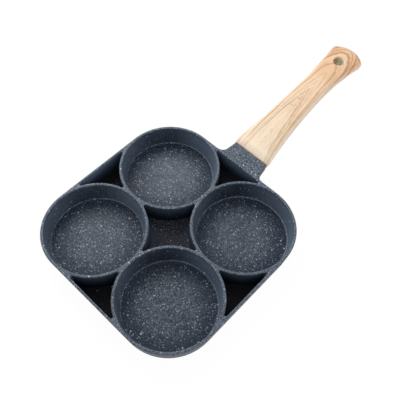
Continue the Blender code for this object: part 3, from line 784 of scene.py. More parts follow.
class Shader:
    """Adds nodes to a new material or world, and keeps values by their names.

    A factor is a value, its name, a number or a row. A row says what it fades, where the fade
    starts and ends and, if they aren't 0 and 1, the values there. What it fades is the name of a
    value, or a noise: the name of a vector, the scale, the detail and the roughness.
    """

    def __init__(self, owner):
        self.owner = owner
        self.values = {}
        owner.use_nodes = True
        self.tree = owner.node_tree

    def put(self, socket, value):
        if isinstance(value, Value):
            value = value.socket
        if isinstance(value, bpy.types.NodeSocket):
            self.tree.links.new(value, socket)
        elif socket.type == "RGBA":
            socket.default_value = (*value, 1.0)
        else:
            socket.default_value = value

    def node(self, kind, inputs=None, **settings):
        node = self.tree.nodes.new(kind)
        for name, value in settings.items():
            setattr(node, name, value)
        for name, value in (inputs or {}).items():
            self.put(node.inputs[name], value)
        return node

    def add(self, kind, inputs=None, output=0, **settings):
        """Adds a node and returns one of its outputs."""
        return Value(self, self.node(kind, inputs, **settings).outputs[output])

    def math(self, operation, *values):
        return self.add("ShaderNodeMath", dict(enumerate(values)), operation=operation)

    def vector(self, operation, *values):
        return self.add("ShaderNodeVectorMath", dict(enumerate(values)), operation=operation)

    def scaled(self, vector, factor):
        return self.add("ShaderNodeVectorMath", {0: vector, "Scale": factor}, operation="SCALE")

    def combine(self, x, y, z):
        return self.add("ShaderNodeCombineXYZ", {"X": x, "Y": y, "Z": z})

    def separate(self, vector):
        node = self.node("ShaderNodeSeparateXYZ", {0: vector})
        return [Value(self, output) for output in node.outputs]

    def distance(self, x, y):
        inputs = {0: self.combine(x, y, 0.0)}
        return self.add("ShaderNodeVectorMath", inputs, "Value", operation="LENGTH")

    def mix(self, factor, first, second):
        inputs = {"Factor": factor, 6: first, 7: second}
        return self.add("ShaderNodeMix", inputs, output=2, data_type="RGBA")

    def noise(self, vector, scale, detail=2.0, roughness=0.5):
        inputs = {"Vector": vector, "Scale": scale, "Detail": detail, "Roughness": roughness}
        return self.add("ShaderNodeTexNoise", inputs, "Fac")

    def wobble(self, vector, scale, amount):
        """The vector moved about by a noise of the given scale, by up to about half the amount."""
        inputs = {"Vector": vector, "Scale": scale, "Detail": 1.0}
        noise = self.add("ShaderNodeTexNoise", inputs, "Color")
        centred = self.vector("SUBTRACT", noise, (0.5, 0.5, 0.5))
        return self.vector("ADD", vector, self.scaled(centred, amount))

    def ramp(self, value, stops):
        node = self.node("ShaderNodeValToRGB", {0: value})
        elements = node.color_ramp.elements
        while len(elements) < len(stops):
            elements.new(0.5)
        for element, (position, color) in zip(elements, stops):
            element.position = position
            element.color = (*color, 1.0)
        return Value(self, node.outputs["Color"])

    def factor(self, given):
        if isinstance(given, str):
            return self.values[given]
        if not isinstance(given, tuple):
            return given
        faded, *fade = given
        if isinstance(faded, str):
            return self.values[faded].fade(*fade)
        vector, *noise = faded
        return self.noise(self.values[vector], *noise).fade(*fade)

    def product(self, *factors):
        return reduce(operator.mul, map(self.factor, factors))

    def total(self, *factors):
        return reduce(operator.add, map(self.factor, factors))

    def define(self, regions):
        """Keeps the product of each region's factors under its name."""
        for name, factors in regions.items():
            self.values[name] = self.product(*factors)

    def layered(self, tone, layers):
        """The tone under layers, each a colour, or its name, and the factors of its cover."""
        for color, *factors in layers:
            color = self.values[color] if isinstance(color, str) else color
            tone = self.mix(self.product(*factors), tone, color)
        return tone

    def place(self):
        """Keeps the place on the object in millimetres, with its x, y and z. Gives place, x, y."""
        place = self.scaled(self.add("ShaderNodeTexCoord", output="Object"), 1 / MM)
        x, y, z = self.separate(place)
        self.values.update(place=place, x=x, y=y, z=z)
        return place, x, y

    def surface(self, tone, roughness, height, bump, others=()):
        """Sets colour, roughness, a bump of (strength, distance) and others. Gives the material."""
        strength, distance = bump
        bumped = {"Height": height, "Strength": strength, "Distance": distance}
        inputs = {"Base Color": tone, "Roughness": self.factor(roughness)}
        inputs["Normal"] = self.add("ShaderNodeBump", bumped, "Normal")
        for name, value in (inputs | dict(others)).items():
            self.put(self.tree.nodes["Principled BSDF"].inputs[name], value)
        return self.owner


# Coating

SLATE_DARK = (0.006, 0.011, 0.020)
SLATE = (0.032, 0.046, 0.068)
SLATE_PALE = (0.106, 0.130, 0.166)
WALL_BLUE = (0.064, 0.092, 0.142)
WALL_SHADE = (0.010, 0.017, 0.032)
# lit and unlit tones of the cup walls, for their painted light
CUP_WALL_LIT = (0.145, 0.190, 0.262)
CUP_WALL_UNLIT = (0.004, 0.007, 0.016)
RIM_HIGHLIGHT = (0.128, 0.156, 0.198)
EDGE_NAVY = (0.011, 0.021, 0.042)
FOOT_HIGHLIGHT = (0.22, 0.26, 0.32)
SEAM_SHADOW = (0.24, 0.17, 0.12)
SPECK_PALE = (0.52, 0.59, 0.67)
SPECK_BROWN = (0.26, 0.21, 0.18)
SUMP_BLACK = (0.004, 0.004, 0.005)
SUMP_BROWN = (0.066, 0.070, 0.088)
SUMP_LIT_NAVY = (0.045, 0.062, 0.088)
SUMP_WALL_LOW = (0.009, 0.013, 0.026)
SKIRT_WALL_LOW = (0.026, 0.042, 0.062)
SKIRT_WALL_HIGH = (0.100, 0.140, 0.205)

CUP_MM = CUP_OFFSET / MM
MOUTH_MM = CUP_MOUTH_RADIUS / MM
RING_MM = RING_RADIUS / MM
FLOOR_MM = FLOOR_THICKNESS / MM
RIM_MM = RIM_Z / MM
BODY_MM = BODY_HALF / MM
INNER_MM = (BODY_HALF - SKIRT_WALL) / MM
SEAM_MM = SEAM_X / MM
LIGHT_FROM_X, LIGHT_FROM_Y = -0.670, 0.742  # the way the painted light on the cup walls comes from: walls that face it are painted lit
# Painted highlight on the fillet round each cup's foot, brightest on walls that face the painted
# light
FOOT_LINE_RADIUS = 42.1
FOOT_LINE_WIDTH = 0.55
FOOT_LINE_FACING = (-0.2, 0.5)
FOOT_LINE_COVER = 0.9
BROKEN_COVER = 0.6  # of the foot line's painted highlight, on the walls that face away from the painted light

MOTTLE_NOISE = (0.62, 4.0, 0.72)
MOTTLE_STOPS = ((0.41, SLATE_DARK), (0.49, SLATE), (0.59, SLATE_PALE))

# The three tables below are sums of factors. Here and below, a region is a product of factors,
# and layers lie from below to above: each is a colour, or its name, and the factors of its cover.
# Steep faces: a random mottle, and painted shade that darkens them towards -Y
WALL_MOTTLE_AND_SHADE = ((("place", 0.09, 3.0), 0.35, 0.65, 0.0, 0.45), ("y", -60.0, 60.0, 0.0, 0.55))
# Painted light on the cup walls: lightest where they face the painted light, a little lighter where
# they face straight away from it, and lighter towards +Y
CUP_WALL_LIGHTING = (
    ("facing", -0.1, 0.8, 0.02, 0.95),
    ("facing", -0.4, -1.0, 0.0, 0.32),
    ("y", -60.0, 60.0, 0.0, 0.16),
)
# Painted light on the cup floors, lighter towards +Y and +X
FLOOR_LIGHTING = (("y", -60.0, 60.0, 0.12, 0.30), ("x", -60.0, 60.0, 0.0, 0.16))
COATING_REGIONS = {
    "steep": (("up", 0.75, 0.35),),
    "in_cup": (("from_cup", MOUTH_MM + 0.4, MOUTH_MM - 0.4), ("up", 0.0, 0.1)),
    "on_floor": ("in_cup", ("z", FLOOR_MM + 2.0, FLOOR_MM + 0.2)),
    # painted shade where each cup floor meets its wall; the specks are also fewer there
    "edge": ("on_floor", ("from_cup", MOUTH_MM - 27.0, MOUTH_MM - 6.0, 0.0, 0.92)),
    "on_top": (("up", 0.4, 0.9), ("z", RIM_MM - 1.5, RIM_MM - 0.3)),
    # the foot line, which carries the painted highlight
    "line": (
        ("from_line", FOOT_LINE_WIDTH, 0.0),
        "in_cup",
        ("z", FLOOR_MM + 2.0, FLOOR_MM + 1.0),
    ),
    "broken": ((("place", 0.22, 3.0, 0.7), 0.35, 0.65), BROKEN_COVER),
}
COATING_LAYERS = (
    # steep faces, with painted shade towards -Y under a random mottle
    ("wall", "steep", 0.55),
    # painted light and shade on the cup walls
    ("cup_wall", "steep", "in_cup", 0.76),
    # painted light: a paler middle on each cup floor, dimming towards the walls
    (SLATE_PALE, "on_floor", ("from_cup", MOUTH_MM - 3.0, 12.0), "floor_spray"),
    # painted shade at the edge of each cup floor
    (EDGE_NAVY, "edge"),
    (EDGE_NAVY, "on_floor", (("place", 0.05, 2.0), 0.45, 0.62), 0.25),
    # painted highlight on the rounded rim tops
    (
        RIM_HIGHLIGHT,
        "on_top",
        (("place", 0.8, 3.0, 0.65), 0.42, 0.58, 0.0, 0.9),
        ("x", BODY_MM - 1.0, BODY_MM + 1.0, 1.0, 0.65),  # less on the neck
    ),
    # painted shadow of the joint on the neck's top, next to the grip
    (SEAM_SHADOW, "on_top", ("x", SEAM_MM - 1.4, SEAM_MM - 0.4, 0.0, 0.4)),
    # painted highlight round each cup's foot
    (FOOT_HIGHLIGHT, "line", "line_sheen"),
)
SUMP_REGIONS = {
    "height": (("z", FLOOR_MM + 2.0, RIM_MM - 1.0),),
    "brown": (
        (("place", 0.85, 4.0, 0.68), 0.36, 0.64),
        ("from_middle", 30.0, 60.0, 1.0, 0.2),  # less in the side sumps
    ),
}
SUMP_LAYERS = (
    # painted shade: the bottom nearly black, with a random brown mottle
    ("floor", ("up", 0.3, 0.9)),
    # painted sheen on the ring walls of the centre sump, towards the left and right cups
    (
        SUMP_LIT_NAVY,
        ("from_cup", RING_MM + 8.0, RING_MM + 1.0),
        ("x_times_y", 10.0, -60.0),
        ("from_middle", 60.0, 30.0),
        0.8,
    ),
    # painted shade: lighter up the walls, darker towards the bottom
    (SUMP_LIT_NAVY, "height"),
    # the straight skirt walls, darker towards the bottom as painted shade
    ("skirt_wall", ("reach", INNER_MM - 2.5, INNER_MM - 1.2), ("up", 0.5, 0.2)),
)

# Specks: size of a cell, smallest and largest speck, share of the cells that have one, and cover
SPECK_LAYERS = (
    (0.8, 0.18, 0.38, 1.00, 0.42),
    (1.6, 0.32, 0.64, 0.62, 0.62),
    (4.0, 0.50, 0.85, 0.50, 0.85),
)
SPECK_WOBBLE = (2.2, 0.35)
SPECK_EDGE = 0.25  # width of a speck's soft edge, in smallest specks
SPECK_SIZE_POWER = 2.0
BROWN_DRAW = (0.94, 0.97)
PALE_DRAW = (0.0, 0.8, 0.25, 1.0)
SPECKS_BY_SLOPE = ("up", 0.1, 0.95, 0.30, 1.0)
SPECKS_ON_TOP = 0.5
SPECKS_AT_EDGE = ("edge", 0.5, 0.92, 1.0, 0.7)
SUMP_SPECKS = (("up", 0.1, 0.95, 0.03, 0.22), ("from_middle", 30.0, 60.0, 1.0, 0.1))

PEEL_NOISE = (1.1, 3.0, 0.55)
GRIT_NOISE = (6.0, 2.0, 0.6)
GRIT_HEIGHT = 0.25
SPECK_HEIGHT = 0.15
COATING_ROUGHNESS = ("peel", 0.3, 0.7, 0.42, 0.58)
COATING_BUMP = (0.55, 0.12 * MM)
COATING_SPECULAR = 0.24
SUMP_SPECULAR = 0.05


def speck_layer(shader, place, cell, smallest, largest, density):
    """Specks in cells: (how much a point is in a speck, a random value for that speck)."""
    inputs = {"Vector": place, "Scale": 1 / cell, "Randomness": 1.0}
    cells = shader.node("ShaderNodeTexVoronoi", inputs, feature="F1").outputs
    size_draw, place_draw, tint_draw = shader.separate(cells["Color"])
    size = size_draw.math("POWER", SPECK_SIZE_POWER)
    radius = size.fade(0.0, 1.0, smallest / cell, largest / cell)
    shape = (radius - cells["Distance"]).fade(0.0, SPECK_EDGE * smallest / cell)
    return shape * place_draw.math("LESS_THAN", density), tint_draw


def sprayed(shader, place, tone, density):
    """The tone with pale and brown specks of three sizes, and how much a point is in one."""
    ragged = shader.wobble(place, *SPECK_WOBBLE)
    covered = 0.0
    for cell, smallest, largest, share, cover in SPECK_LAYERS:
        specks, draw = speck_layer(shader, ragged, cell, smallest, largest, density * share)
        tint = shader.mix(draw.fade(*BROWN_DRAW), SPECK_PALE, SPECK_BROWN)
        tone = shader.layered(tone, [(tint, specks, draw.fade(*PALE_DRAW), cover)])
        covered = specks.math("MAXIMUM", covered)
    return tone, covered


def coating_shader(name):
    """A new material's shader with the values that both coating materials use."""
    shader = Shader(bpy.data.materials.new(name))
    _, x, y = shader.place()
    normal = shader.add("ShaderNodeNewGeometry", output="Normal")
    normal_x, normal_y, up = shader.separate(normal)
    shader.values.update(
        up=up,  # 1 on level faces, 0 on upright ones
        # how far a face turns towards the painted light on the cup walls
        facing=normal_x * LIGHT_FROM_X + normal_y * LIGHT_FROM_Y,
        from_cup=shader.distance(abs(x) - CUP_MM, abs(y) - CUP_MM),  # from the nearest cup's axis
        from_middle=shader.distance(x, y),
        x_times_y=x * y,
        reach=abs(x).math("MAXIMUM", abs(y)),
    )
    return shader


def finish_coating(shader, tone, density, specular):
    place = shader.values["place"]
    tone, specks = sprayed(shader, place, tone, density)
    peel = shader.noise(place, *PEEL_NOISE)
    shader.values["peel"] = peel
    height = peel + shader.noise(place, *GRIT_NOISE) * GRIT_HEIGHT + specks * SPECK_HEIGHT
    gloss = {"Specular IOR Level": specular}
    return shader.surface(tone, COATING_ROUGHNESS, height, COATING_BUMP, gloss)


def coating_material():
    """Matt blue-grey coating: painted light and shade on the walls, and a fine painted highlight
    round each cup's foot.
    """
    shader = coating_shader("stone_coating")
    values = shader.values
    values["from_line"] = abs(values["from_cup"] - FOOT_LINE_RADIUS)
    shader.define(COATING_REGIONS)
    values["wall"] = shader.mix(shader.total(*WALL_MOTTLE_AND_SHADE), WALL_SHADE, WALL_BLUE)
    values["cup_wall"] = shader.mix(shader.total(*CUP_WALL_LIGHTING), CUP_WALL_UNLIT, CUP_WALL_LIT)
    values["floor_spray"] = shader.total(*FLOOR_LIGHTING)
    highlight_fade = (*FOOT_LINE_FACING, values["broken"], FOOT_LINE_COVER)
    values["line_sheen"] = values["facing"].fade(*highlight_fade)
    mottle = shader.ramp(shader.noise(values["place"], *MOTTLE_NOISE), MOTTLE_STOPS)
    tone = shader.layered(mottle, COATING_LAYERS)
    density = shader.factor(SPECKS_BY_SLOPE) + values["on_top"] * SPECKS_ON_TOP
    density = density * shader.factor(SPECKS_AT_EDGE)
    return finish_coating(shader, tone, density, COATING_SPECULAR)


def sump_material():
    """The coating in the sumps, with painted shade: nearly black at the bottom, lighter up the
    walls.
    """
    shader = coating_shader("sump_coating")
    shader.define(SUMP_REGIONS)
    values = shader.values
    values["floor"] = shader.mix(values["brown"], SUMP_BLACK, SUMP_BROWN)
    values["skirt_wall"] = shader.mix(values["height"], SKIRT_WALL_LOW, SKIRT_WALL_HIGH)
    tone = shader.layered(SUMP_WALL_LOW, SUMP_LAYERS)
    return finish_coating(shader, tone, shader.product(*SUMP_SPECKS), SUMP_SPECULAR)


# Wood look

WOOD_PAINTED_LIGHT = (1.00, 0.855, 0.655)
WOOD_CREAM = (0.92, 0.78, 0.58)
WOOD_HONEY = (0.845, 0.590, 0.370)
WOOD_LINE = (0.46, 0.225, 0.10)
WOOD_PINK = (0.86, 0.58, 0.38)
WOOD_TAN = (0.76, 0.46, 0.25)
END_SHADE = (0.24, 0.17, 0.11)
# greyer tones of the grip's rounded edges, for painted shade
RIGHT_EDGE_SHADE = (0.80, 0.74, 0.64)
LEFT_EDGE_SHADE = (0.70, 0.65, 0.55)
HOLE_WALL = (0.62, 0.60, 0.46)
CORE_OLIVE = (0.36, 0.34, 0.25)
CORE_SHADE = (0.19, 0.175, 0.125)

# The grain: rings round a pith that lies under the top face and sinks towards the tail. Here and
# below, places on the grip are in millimetres: along it from the front, across it to the left, and
# depth below the top line.
AXIS_START = -3.4  # how far the pith lies to the side of the middle line at the seam
AXIS_SHIFT = 4.3
AXIS_REACH = 28.0
PITH_DIP = 60.0
PITH_DIP_REACH = 18.0
PITH_FALL = 1.45
PITH_TAIL_START = 105.0
PITH_TAIL_FALL = 0.115
PITH_DEPTH_SHARE = 0.55
SMALLEST_SQUARE = 0.01
SMALLEST_SLOPE = 0.12
KINK = 0.45  # how sharply the loops of the grain come to a point, short of the tail
KINK_REACH = 2.5
KINK_END = ("along", 100.0, 125.0, KINK, 0.0)
FINE_RING_PITCH = 1.15

# Dark rings: distance from the pith, width of the soft inner side and the hard outer side, strength
RINGS = (
    (13.6, 2.20, 0.60, 0.75),
    (14.3, 0.80, 0.50, 0.40),
    (15.0, 0.90, 0.50, 0.62),
    (17.3, 2.40, 0.70, 0.80),
    (18.0, 0.80, 0.50, 0.25),
    (18.5, 1.00, 0.50, 0.35),
    (19.6, 0.80, 0.50, 0.25),
    (21.2, 1.20, 3.60, 1.00),
    (23.0, 1.00, 1.60, 0.75),
    (24.9, 1.40, 2.60, 1.00),
    (26.7, 1.20, 0.60, 0.45),
    (28.6, 1.20, 0.60, 0.55),
)

STRETCH = 0.10  # of the length along the grip, for most of the noise
DASH_STRETCH = 0.5
PORE_STRETCH = (0.30, 2.2, 2.2)
PORES = (1.6, 0.10, 0.34, 0.45)  # size of a cell, smallest and largest pore, share of the cells
DRIFT = (("stretched", 0.35, 2.0), 0.2, 0.8, -0.8, 0.8)
SHIVER = (("stretched", 1.6, 3.0, 0.6), 0.2, 0.8, -0.26, 0.26)
MOST_EDGE_SHADE = 0.75
WOOD_REGIONS = {
    "streaks": ((("stretched", 2.4, 4.0, 0.65), 0.45, 0.75),),
    "fine_lines": (
        ("ripples", 0.2, 1.0),
        (("stretched", 0.5), 0.35, 0.65),
        ("along", 100.0, 125.0, 1.0, 0.0),
    ),
    "calm": (("along", 1.0, 10.0, 0.25, 1.0),),  # fewer lines at the front, which adds painted light to the shoulder there
    # painted light on the right flank, which faces away from the lamps; the rings are fainter there
    # too
    "flank": (("depth", 0.8, 4.0), ("across", -4.0, -9.0), ("along", 130.0, 105.0)),
    "on_left": (("across", 2.0, 6.0),),
    # painted shade on the rounded edges: the left edge, the right edge and round the tail
    "left_edge": (("depth", 0.7, 2.0), "on_left", 0.75),
    "right_edge": (
        ("depth", 0.8, 2.8),
        ("across", 0.0, -6.0),
        ("along", 118.0, 136.0, 0.45, 0.15),
    ),
    "tail_edge": (("along", 146.0, 152.0, 0.0, 0.3),),
    "ring_cover": (("along", 0.0, 45.0, 0.5, 0.9), ("flank", 0.0, 1.0, 1.0, 0.5)),
}
WOOD_LAYERS = (
    (WOOD_HONEY, ("along", 10.0, 150.0)),
    (WOOD_PINK, (("stretched", 0.22, 3.0), 0.42, 0.62), 0.45),
    (WOOD_TAN, ("warped", 20.8, 22.5), ("along", 105.0, 130.0), 0.7),  # outer rings
    (WOOD_TAN, ("along", 98.0, 112.0), ("along", 130.0, 123.0), 0.42),  # in front of the hole
    # painted light on the shoulder by the seam, which slopes away from the light
    (WOOD_PAINTED_LIGHT, ("along", 20.0, 1.0, 0.0, 0.92)),
    (WOOD_LINE, "streaks", "calm", 0.16),
    (WOOD_LINE, "fine_lines", "calm", 0.22),
    # painted light on the right flank
    (WOOD_PAINTED_LIGHT, "flank", 0.8),
    # painted shade on the rounded edges
    ("ash", "edges"),
    (WOOD_LINE, "dark_rings", "ring_cover"),
    (WOOD_LINE, "pores", "pore_draw", 0.30),
    (
        WOOD_LINE,  # dashes inside the innermost ring
        ("ring", 13.6, 13.1),
        ("along", 50.0, 62.0),
        ("across", -5.5, -4.0),
        (("less_stretched", 1.0), 0.50, 0.60),
        0.55,
    ),
    ("hole_tone", ("from_hole", HOLE_RADIUS / MM + 0.45, HOLE_RADIUS / MM + 0.1)),
    (
        END_SHADE,  # painted shade: a broken dark line round the tail's end edge
        ("depth", 0.3, 0.8),
        ("depth", 1.8, 1.3),
        ("along", 144.0, 149.0),
        (("place", 0.13, 2.0), 0.35, 0.65, 0.3, 0.8),
    ),
)
HOLE_SHADE = ("across", 2.0, 4.6, 0.0, 0.8)
WOOD_NOISE = (3.0, 3.0, 0.6)
WOOD_HEIGHTS = (0.5, 0.35, 0.25)  # of the noise, the pores and the streaks
WOOD_ROUGHNESS = ("texture", 0.3, 0.7, 0.44, 0.58)
WOOD_BUMP = (0.35, 0.08 * MM)
CORE_NOISE = (0.4, 3.0)
PIT_NOISE = (4.0, 2.0)
CORE_ROUGHNESS = (0.3, 0.7, 0.55, 0.70)
CORE_BUMP = (0.3, 0.06 * MM)


def grain_rings(shader, along, across, depth):
    """Distance from the pith, and how fast it changes over the surface."""
    axis_left = (along * (-1 / AXIS_REACH)).math("EXPONENT")
    axis = (AXIS_START + AXIS_SHIFT) + axis_left * -AXIS_SHIFT
    axis_turn = axis_left * (AXIS_SHIFT / AXIS_REACH)
    dip_left = (along * (-1 / PITH_DIP_REACH)).math("EXPONENT")
    tail = (along - PITH_TAIL_START).math("MAXIMUM", 0.0)
    squared = PITH_DIP + dip_left * -PITH_DIP + along * PITH_FALL + tail * tail * PITH_TAIL_FALL
    squared_turn = PITH_FALL + dip_left * (PITH_DIP / PITH_DIP_REACH) + tail * (2 * PITH_TAIL_FALL)
    pith = squared.math("MAXIMUM", SMALLEST_SQUARE).math("SQRT")
    down = pith + depth * PITH_DEPTH_SHARE
    aside = across - axis
    kink = (abs(aside) * (-1 / KINK_REACH)).math("EXPONENT")
    ring = shader.distance(aside, down) + (1.0 - kink) * shader.factor(KINK_END)
    change = down * squared_turn * 0.5 / pith - aside * axis_turn
    slope = shader.distance(aside, change) / ring
    return ring, slope.math("MAXIMUM", SMALLEST_SLOPE)


def dark_rings(warped, slope):
    darkness = 0.0
    for distance, soft_side, hard_side, strength in RINGS:
        past = (warped - distance) / slope
        line = past.fade(-soft_side, 0.0) * past.fade(hard_side, 0.0) * strength
        darkness = line.math("MAXIMUM", darkness)
    return darkness


def add_grain_attributes(mesh):
    """Place along, across and below the arched top line, in millimetres."""
    values = {name: [] for name in ("along", "across", "depth")}
    for vertex in mesh.vertices:
        values["along"].append(max(vertex.co.x - GRIP_X, 0.0) / MM)
        values["across"].append(vertex.co.y / MM)
        values["depth"].append(max(grip_top(vertex.co.x) - vertex.co.z, 0.0) / MM)
    for name, numbers in values.items():
        mesh.attributes.new(name, "FLOAT", "POINT").data.foreach_set("value", numbers)


def wood_material():
    """Satin moulding with a printed wood grain: nested loops, fine lines, streaks and pores."""
    shader = Shader(bpy.data.materials.new("wood_look"))
    values = shader.values
    place, x, y = shader.place()
    for name in ("along", "across", "depth"):
        values[name] = shader.add("ShaderNodeAttribute", output="Fac", attribute_name=name)
    along, across, depth = grip_place = values["along"], values["across"], values["depth"]
    values["stretched"] = shader.combine(along * STRETCH, across, depth)
    values["less_stretched"] = shader.combine(along * DASH_STRETCH, across, depth)
    pore_place = [value * factor for value, factor in zip(grip_place, PORE_STRETCH)]
    pores, values["pore_draw"] = speck_layer(shader, shader.combine(*pore_place), *PORES)

    ring, slope = grain_rings(shader, *grip_place)
    warped = ring + shader.total(DRIFT, SHIVER) * slope
    texture = shader.noise(place, *WOOD_NOISE)
    values.update(ring=ring, warped=warped, pores=pores, texture=texture)
    values["dark_rings"] = dark_rings(warped, slope)
    values["ripples"] = (warped * (math.tau / FINE_RING_PITCH)).math("SINE")
    values["from_hole"] = shader.distance(x - HOLE_X / MM, y)
    shader.define(WOOD_REGIONS)
    edges = shader.total("right_edge", "left_edge", "tail_edge")
    values["edges"] = edges.math("MINIMUM", MOST_EDGE_SHADE)
    values["ash"] = shader.mix(values["on_left"], RIGHT_EDGE_SHADE, LEFT_EDGE_SHADE)
    values["hole_tone"] = shader.mix(shader.factor(HOLE_SHADE), HOLE_WALL, WOOD_LINE)
    of_noise, of_pores, of_streaks = WOOD_HEIGHTS
    height = texture * of_noise - pores * of_pores - values["streaks"] * of_streaks
    tone = shader.layered(WOOD_CREAM, WOOD_LAYERS)
    return shader.surface(tone, WOOD_ROUGHNESS, height, WOOD_BUMP)


def core_material():
    """Plain heat-proof plastic of the socket and bores, with the marks of the mould."""
    shader = Shader(bpy.data.materials.new("moulded_core"))
    place, _, _ = shader.place()
    tone = shader.mix(shader.noise(place, *CORE_NOISE), CORE_OLIVE, CORE_SHADE)
    pits = shader.noise(place, *PIT_NOISE)
    return shader.surface(tone, pits.fade(*CORE_ROUGHNESS), pits, CORE_BUMP)


# Steel

STEEL = (0.60, 0.60, 0.605)
STEEL_SHADE = (0.36, 0.36, 0.37)
STEEL_STAIN = (0.42, 0.38, 0.33)
TURNING_NOISE = (1.1, 5.0, 0.75)
STAIN_NOISE = (0.045, 4.0, 0.6)
STEEL_LAYERS = ((STEEL, ("circles", 0.3, 0.7)), (STEEL_STAIN, ("stains", 0.5, 0.8, 0.0, 0.35)))
SCRATCH_WOBBLE = (0.03, 6.0)
SCRATCH_STRETCH = (0.06, 1.6, 1.0)
SCRATCHES = (("scratch_place", 1.0, 2.0), 0.70, 0.76)
SCRATCH_DEPTH = 0.6
STEEL_ROUGHNESS = ("stains", 0.3, 0.8, 0.24, 0.42)
STEEL_BUMP = (0.45, 0.03 * MM)
STEEL_ANISOTROPY = 0.6
ZINC = (0.66, 0.67, 0.68)
ZINC_SHADE = (0.46, 0.46, 0.45)
ZINC_DUST = (0.30, 0.28, 0.25)
CRYSTAL_SCALE = 2.2
DUST_NOISE = (1.5, 4.0, 0.6)
ZINC_LAYERS = ((ZINC, "crystals"), (ZINC_DUST, ("dust", 0.5, 0.8, 0.0, 0.4)))
ZINC_ROUGHNESS = ("dust", 0.3, 0.8, 0.26, 0.50)
ZINC_BUMP = (0.3, 0.03 * MM)


def turned_steel_material():
    """Stainless plate with the fine circles of its turning, a few stains and hob scratches."""
    shader = Shader(bpy.data.materials.new("turned_steel"))
    place, x, y = shader.place()
    radius = shader.combine(shader.distance(x, y), 0.0, 0.0)
    circles = shader.noise(radius, *TURNING_NOISE)
    stains = shader.noise(place, *STAIN_NOISE)
    wavy = shader.wobble(place, *SCRATCH_WOBBLE)
    scratch_place = shader.vector("MULTIPLY", wavy, SCRATCH_STRETCH)
    shader.values.update(circles=circles, stains=stains, scratch_place=scratch_place)
    tone = shader.layered(STEEL_SHADE, STEEL_LAYERS)
    height = circles - shader.factor(SCRATCHES) * SCRATCH_DEPTH
    tangent = shader.add("ShaderNodeTangent", direction_type="RADIAL", axis="Z")
    turning = {"Metallic": 1.0, "Anisotropic": STEEL_ANISOTROPY, "Tangent": tangent}
    return shader.surface(tone, STEEL_ROUGHNESS, height, STEEL_BUMP, turning)


def plated_steel_material():
    """Zinc plating with a faint crystal pattern and some dust in it."""
    shader = Shader(bpy.data.materials.new("plated_steel"))
    place, _, _ = shader.place()
    cells = {"Vector": place, "Scale": CRYSTAL_SCALE}
    crystals = shader.separate(shader.add("ShaderNodeTexVoronoi", cells, "Color"))[0]
    dust = shader.noise(place, *DUST_NOISE)
    shader.values.update(crystals=crystals, dust=dust)
    tone = shader.layered(ZINC_SHADE, ZINC_LAYERS)
    return shader.surface(tone, ZINC_ROUGHNESS, dust, ZINC_BUMP, {"Metallic": 1.0})


# Pieces


def dress(obj, node, slot, *materials):
    """The piece rides on the frame, stands for a node and gets materials. Its slot is not used."""
    obj.data.materials.clear()
    for material in materials:
        obj.data.materials.append(material)
    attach(obj, "root")
    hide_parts(node)


def darken_sumps(casting):
    """Gives the faces inside the pockets between the rings the sumps' material, which paints shade
    there.
    """
    for face in casting.data.polygons:
        x, y, z = face.center
        from_axis = math.hypot(abs(x) - CUP_OFFSET, abs(y) - CUP_OFFSET)
        past_ring = from_axis > RING_RADIUS + SAME_POINT
        inside = max(abs(x), abs(y)) < BODY_HALF - SKIRT_WALL
        below_lip = FLOOR_THICKNESS - SAME_POINT < z < RIM_Z - LIP_RADIUS
        face.material_index = int(past_ring and inside and below_lip and face.normal.z > 0.0)


def show_core(grip):
    """Gives the faces inside the socket, the bore and the counterbore the core's material."""
    into_tongue = tongue_frame().inverted()
    wall = RECESS_SLACK + SCREW_HEAD_RADIUS + SAME_POINT
    for face in grip.data.polygons:
        place = into_tongue @ face.center
        in_socket = (
            place.x < TONGUE_LENGTH + GAP + SAME_POINT
            and abs(place.y) < TONGUE_HALF_WIDTH + GAP + SAME_POINT
            and abs(place.z) < TONGUE_THICKNESS / 2 + GAP + SAME_POINT
        )
        in_bore = math.hypot(place.x - SCREW_AT, place.y) < wall and place.z < 0.0
        face.material_index = int(in_socket or in_bore or face.center.x < GRIP_X + SAME_POINT)


def make_pan():
    casting = make_casting()
    dress(casting, "pan_body", "coating", coating_material(), sump_material())
    darken_sumps(casting)
    dress(make_plate(), "base_plate", "base_steel", turned_steel_material())
    grip = make_grip()
    dress(grip, "handle_grip", "wood_look", wood_material(), core_material())
    show_core(grip)
    add_grain_attributes(grip.data)
    plated = plated_steel_material()
    dress(make_screw(), "handle_screw", "screw_steel", plated)
    dress(make_washer(), "split_washer", "screw_steel", plated)


# Studio

WHITE = (1.0, 1.0, 1.0)
WORLD_LIGHT = 0.60  # that the object gets from its surroundings, which are seen as white
FLOOR_HALF = 3.0
FLOOR_DROP = 0.05 * MM
FLOOR_TONE = (0.92, 0.92, 0.92)
FLOOR_SEEN_TONE = (0.07, 0.07, 0.07)
FLOOR_SEEN_GLOW = 0.955
LAMP_SIZE = 0.5
KEY_WATTS = 2.9
KEY_PLACE = Vector((0.17, 0.48, 0.38))  # from the point that the camera looks at
FILL_WATTS = 3.6
FILL_PLACE = Vector((0.72, -1.03, 0.31))


def sees_background(shader):
    """1 for camera, glossy and transmission rays and 0 for the rays that light the object."""
    path = shader.node("ShaderNodeLightPath").outputs
    seen = shader.math("MAXIMUM", path["Is Camera Ray"], path["Is Glossy Ray"])
    return seen.math("MAXIMUM", path["Is Transmission Ray"])


def make_world():
    shader = Shader(bpy.data.worlds.new("studio"))
    background = shader.tree.nodes["Background"]
    shader.put(background.inputs["Color"], WHITE)
    strength = sees_background(shader).fade(0.0, 1.0, WORLD_LIGHT, 1.0)
    shader.put(background.inputs["Strength"], strength)
    bpy.context.scene.world = shader.owner


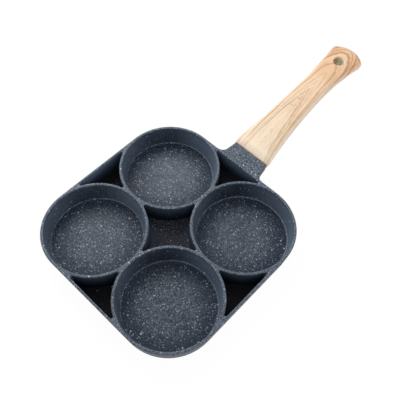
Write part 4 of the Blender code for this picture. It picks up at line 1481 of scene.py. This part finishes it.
def floor_material():
    """Plain white: pale to the rays that light the object, and lifted to white where it is seen."""
    shader = Shader(bpy.data.materials.new("studio_floor"))
    shader.tree.nodes.remove(shader.tree.nodes["Principled BSDF"])
    matt = shader.add("ShaderNodeBsdfDiffuse", {"Color": FLOOR_TONE})
    seen_matt = shader.add("ShaderNodeBsdfDiffuse", {"Color": FLOOR_SEEN_TONE})
    glow = shader.add("ShaderNodeEmission", {"Color": WHITE, "Strength": FLOOR_SEEN_GLOW})
    seen = shader.add("ShaderNodeAddShader", {0: seen_matt, 1: glow})
    mixed = shader.add("ShaderNodeMixShader", {0: sees_background(shader), 1: matt, 2: seen})
    shader.put(shader.tree.nodes["Material Output"].inputs["Surface"], mixed)
    return shader.owner


def make_floor():
    corners = all_round([(FLOOR_HALF, FLOOR_HALF)])
    bm = bmesh.new()
    bm.faces.new([bm.verts.new(corner) for corner in at_height(corners, -FLOOR_DROP)])
    floor = new_object("floor", bm)
    floor.data.materials.append(floor_material())
    floor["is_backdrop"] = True


def make_lamp(name, watts, place):
    light = bpy.data.lights.new(name, "AREA")
    light.energy = watts
    light.shape = "DISK"
    light.size = LAMP_SIZE
    obj = add_object(name, light)
    obj.location = CAMERA_TARGET + place
    obj.rotation_euler = place.to_track_quat("Z", "Y").to_euler()


def make_camera():
    level = Vector((math.cos(CAMERA_AZIMUTH), math.sin(CAMERA_AZIMUTH), 0.0))
    away = level.cross(Vector((0.0, 0.0, 1.0)))
    back = away * math.cos(CAMERA_ELEVATION) + Vector((0.0, 0.0, math.sin(CAMERA_ELEVATION)))
    upright = back.cross(level)
    right = math.cos(CAMERA_ROLL) * level + math.sin(CAMERA_ROLL) * upright
    up = math.cos(CAMERA_ROLL) * upright - math.sin(CAMERA_ROLL) * level
    camera = bpy.data.cameras.new("camera")
    camera.lens = CAMERA_LENS
    camera.clip_start = CAMERA_CLIP_START
    placed = Matrix((right, up, back)).transposed().to_4x4()
    placed.translation = CAMERA_TARGET + back * CAMERA_DISTANCE
    obj = add_object("camera", camera)
    obj.matrix_world = placed
    bpy.context.scene.camera = obj


def main():
    for name in ("Cube", "Light", "Camera"):
        if name in bpy.data.objects:
            bpy.data.objects.remove(bpy.data.objects[name], do_unlink=True)
    make_pan()
    make_world()
    make_floor()
    make_lamp("key", KEY_WATTS, KEY_PLACE)
    make_lamp("fill", FILL_WATTS, FILL_PLACE)
    make_camera()
    bpy.context.scene.view_settings.view_transform = "Standard"


main()
boxes = {"cad": CAD_BOX, "visual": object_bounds()}
{name: [list(corner) for corner in box] for name, box in boxes.items()}
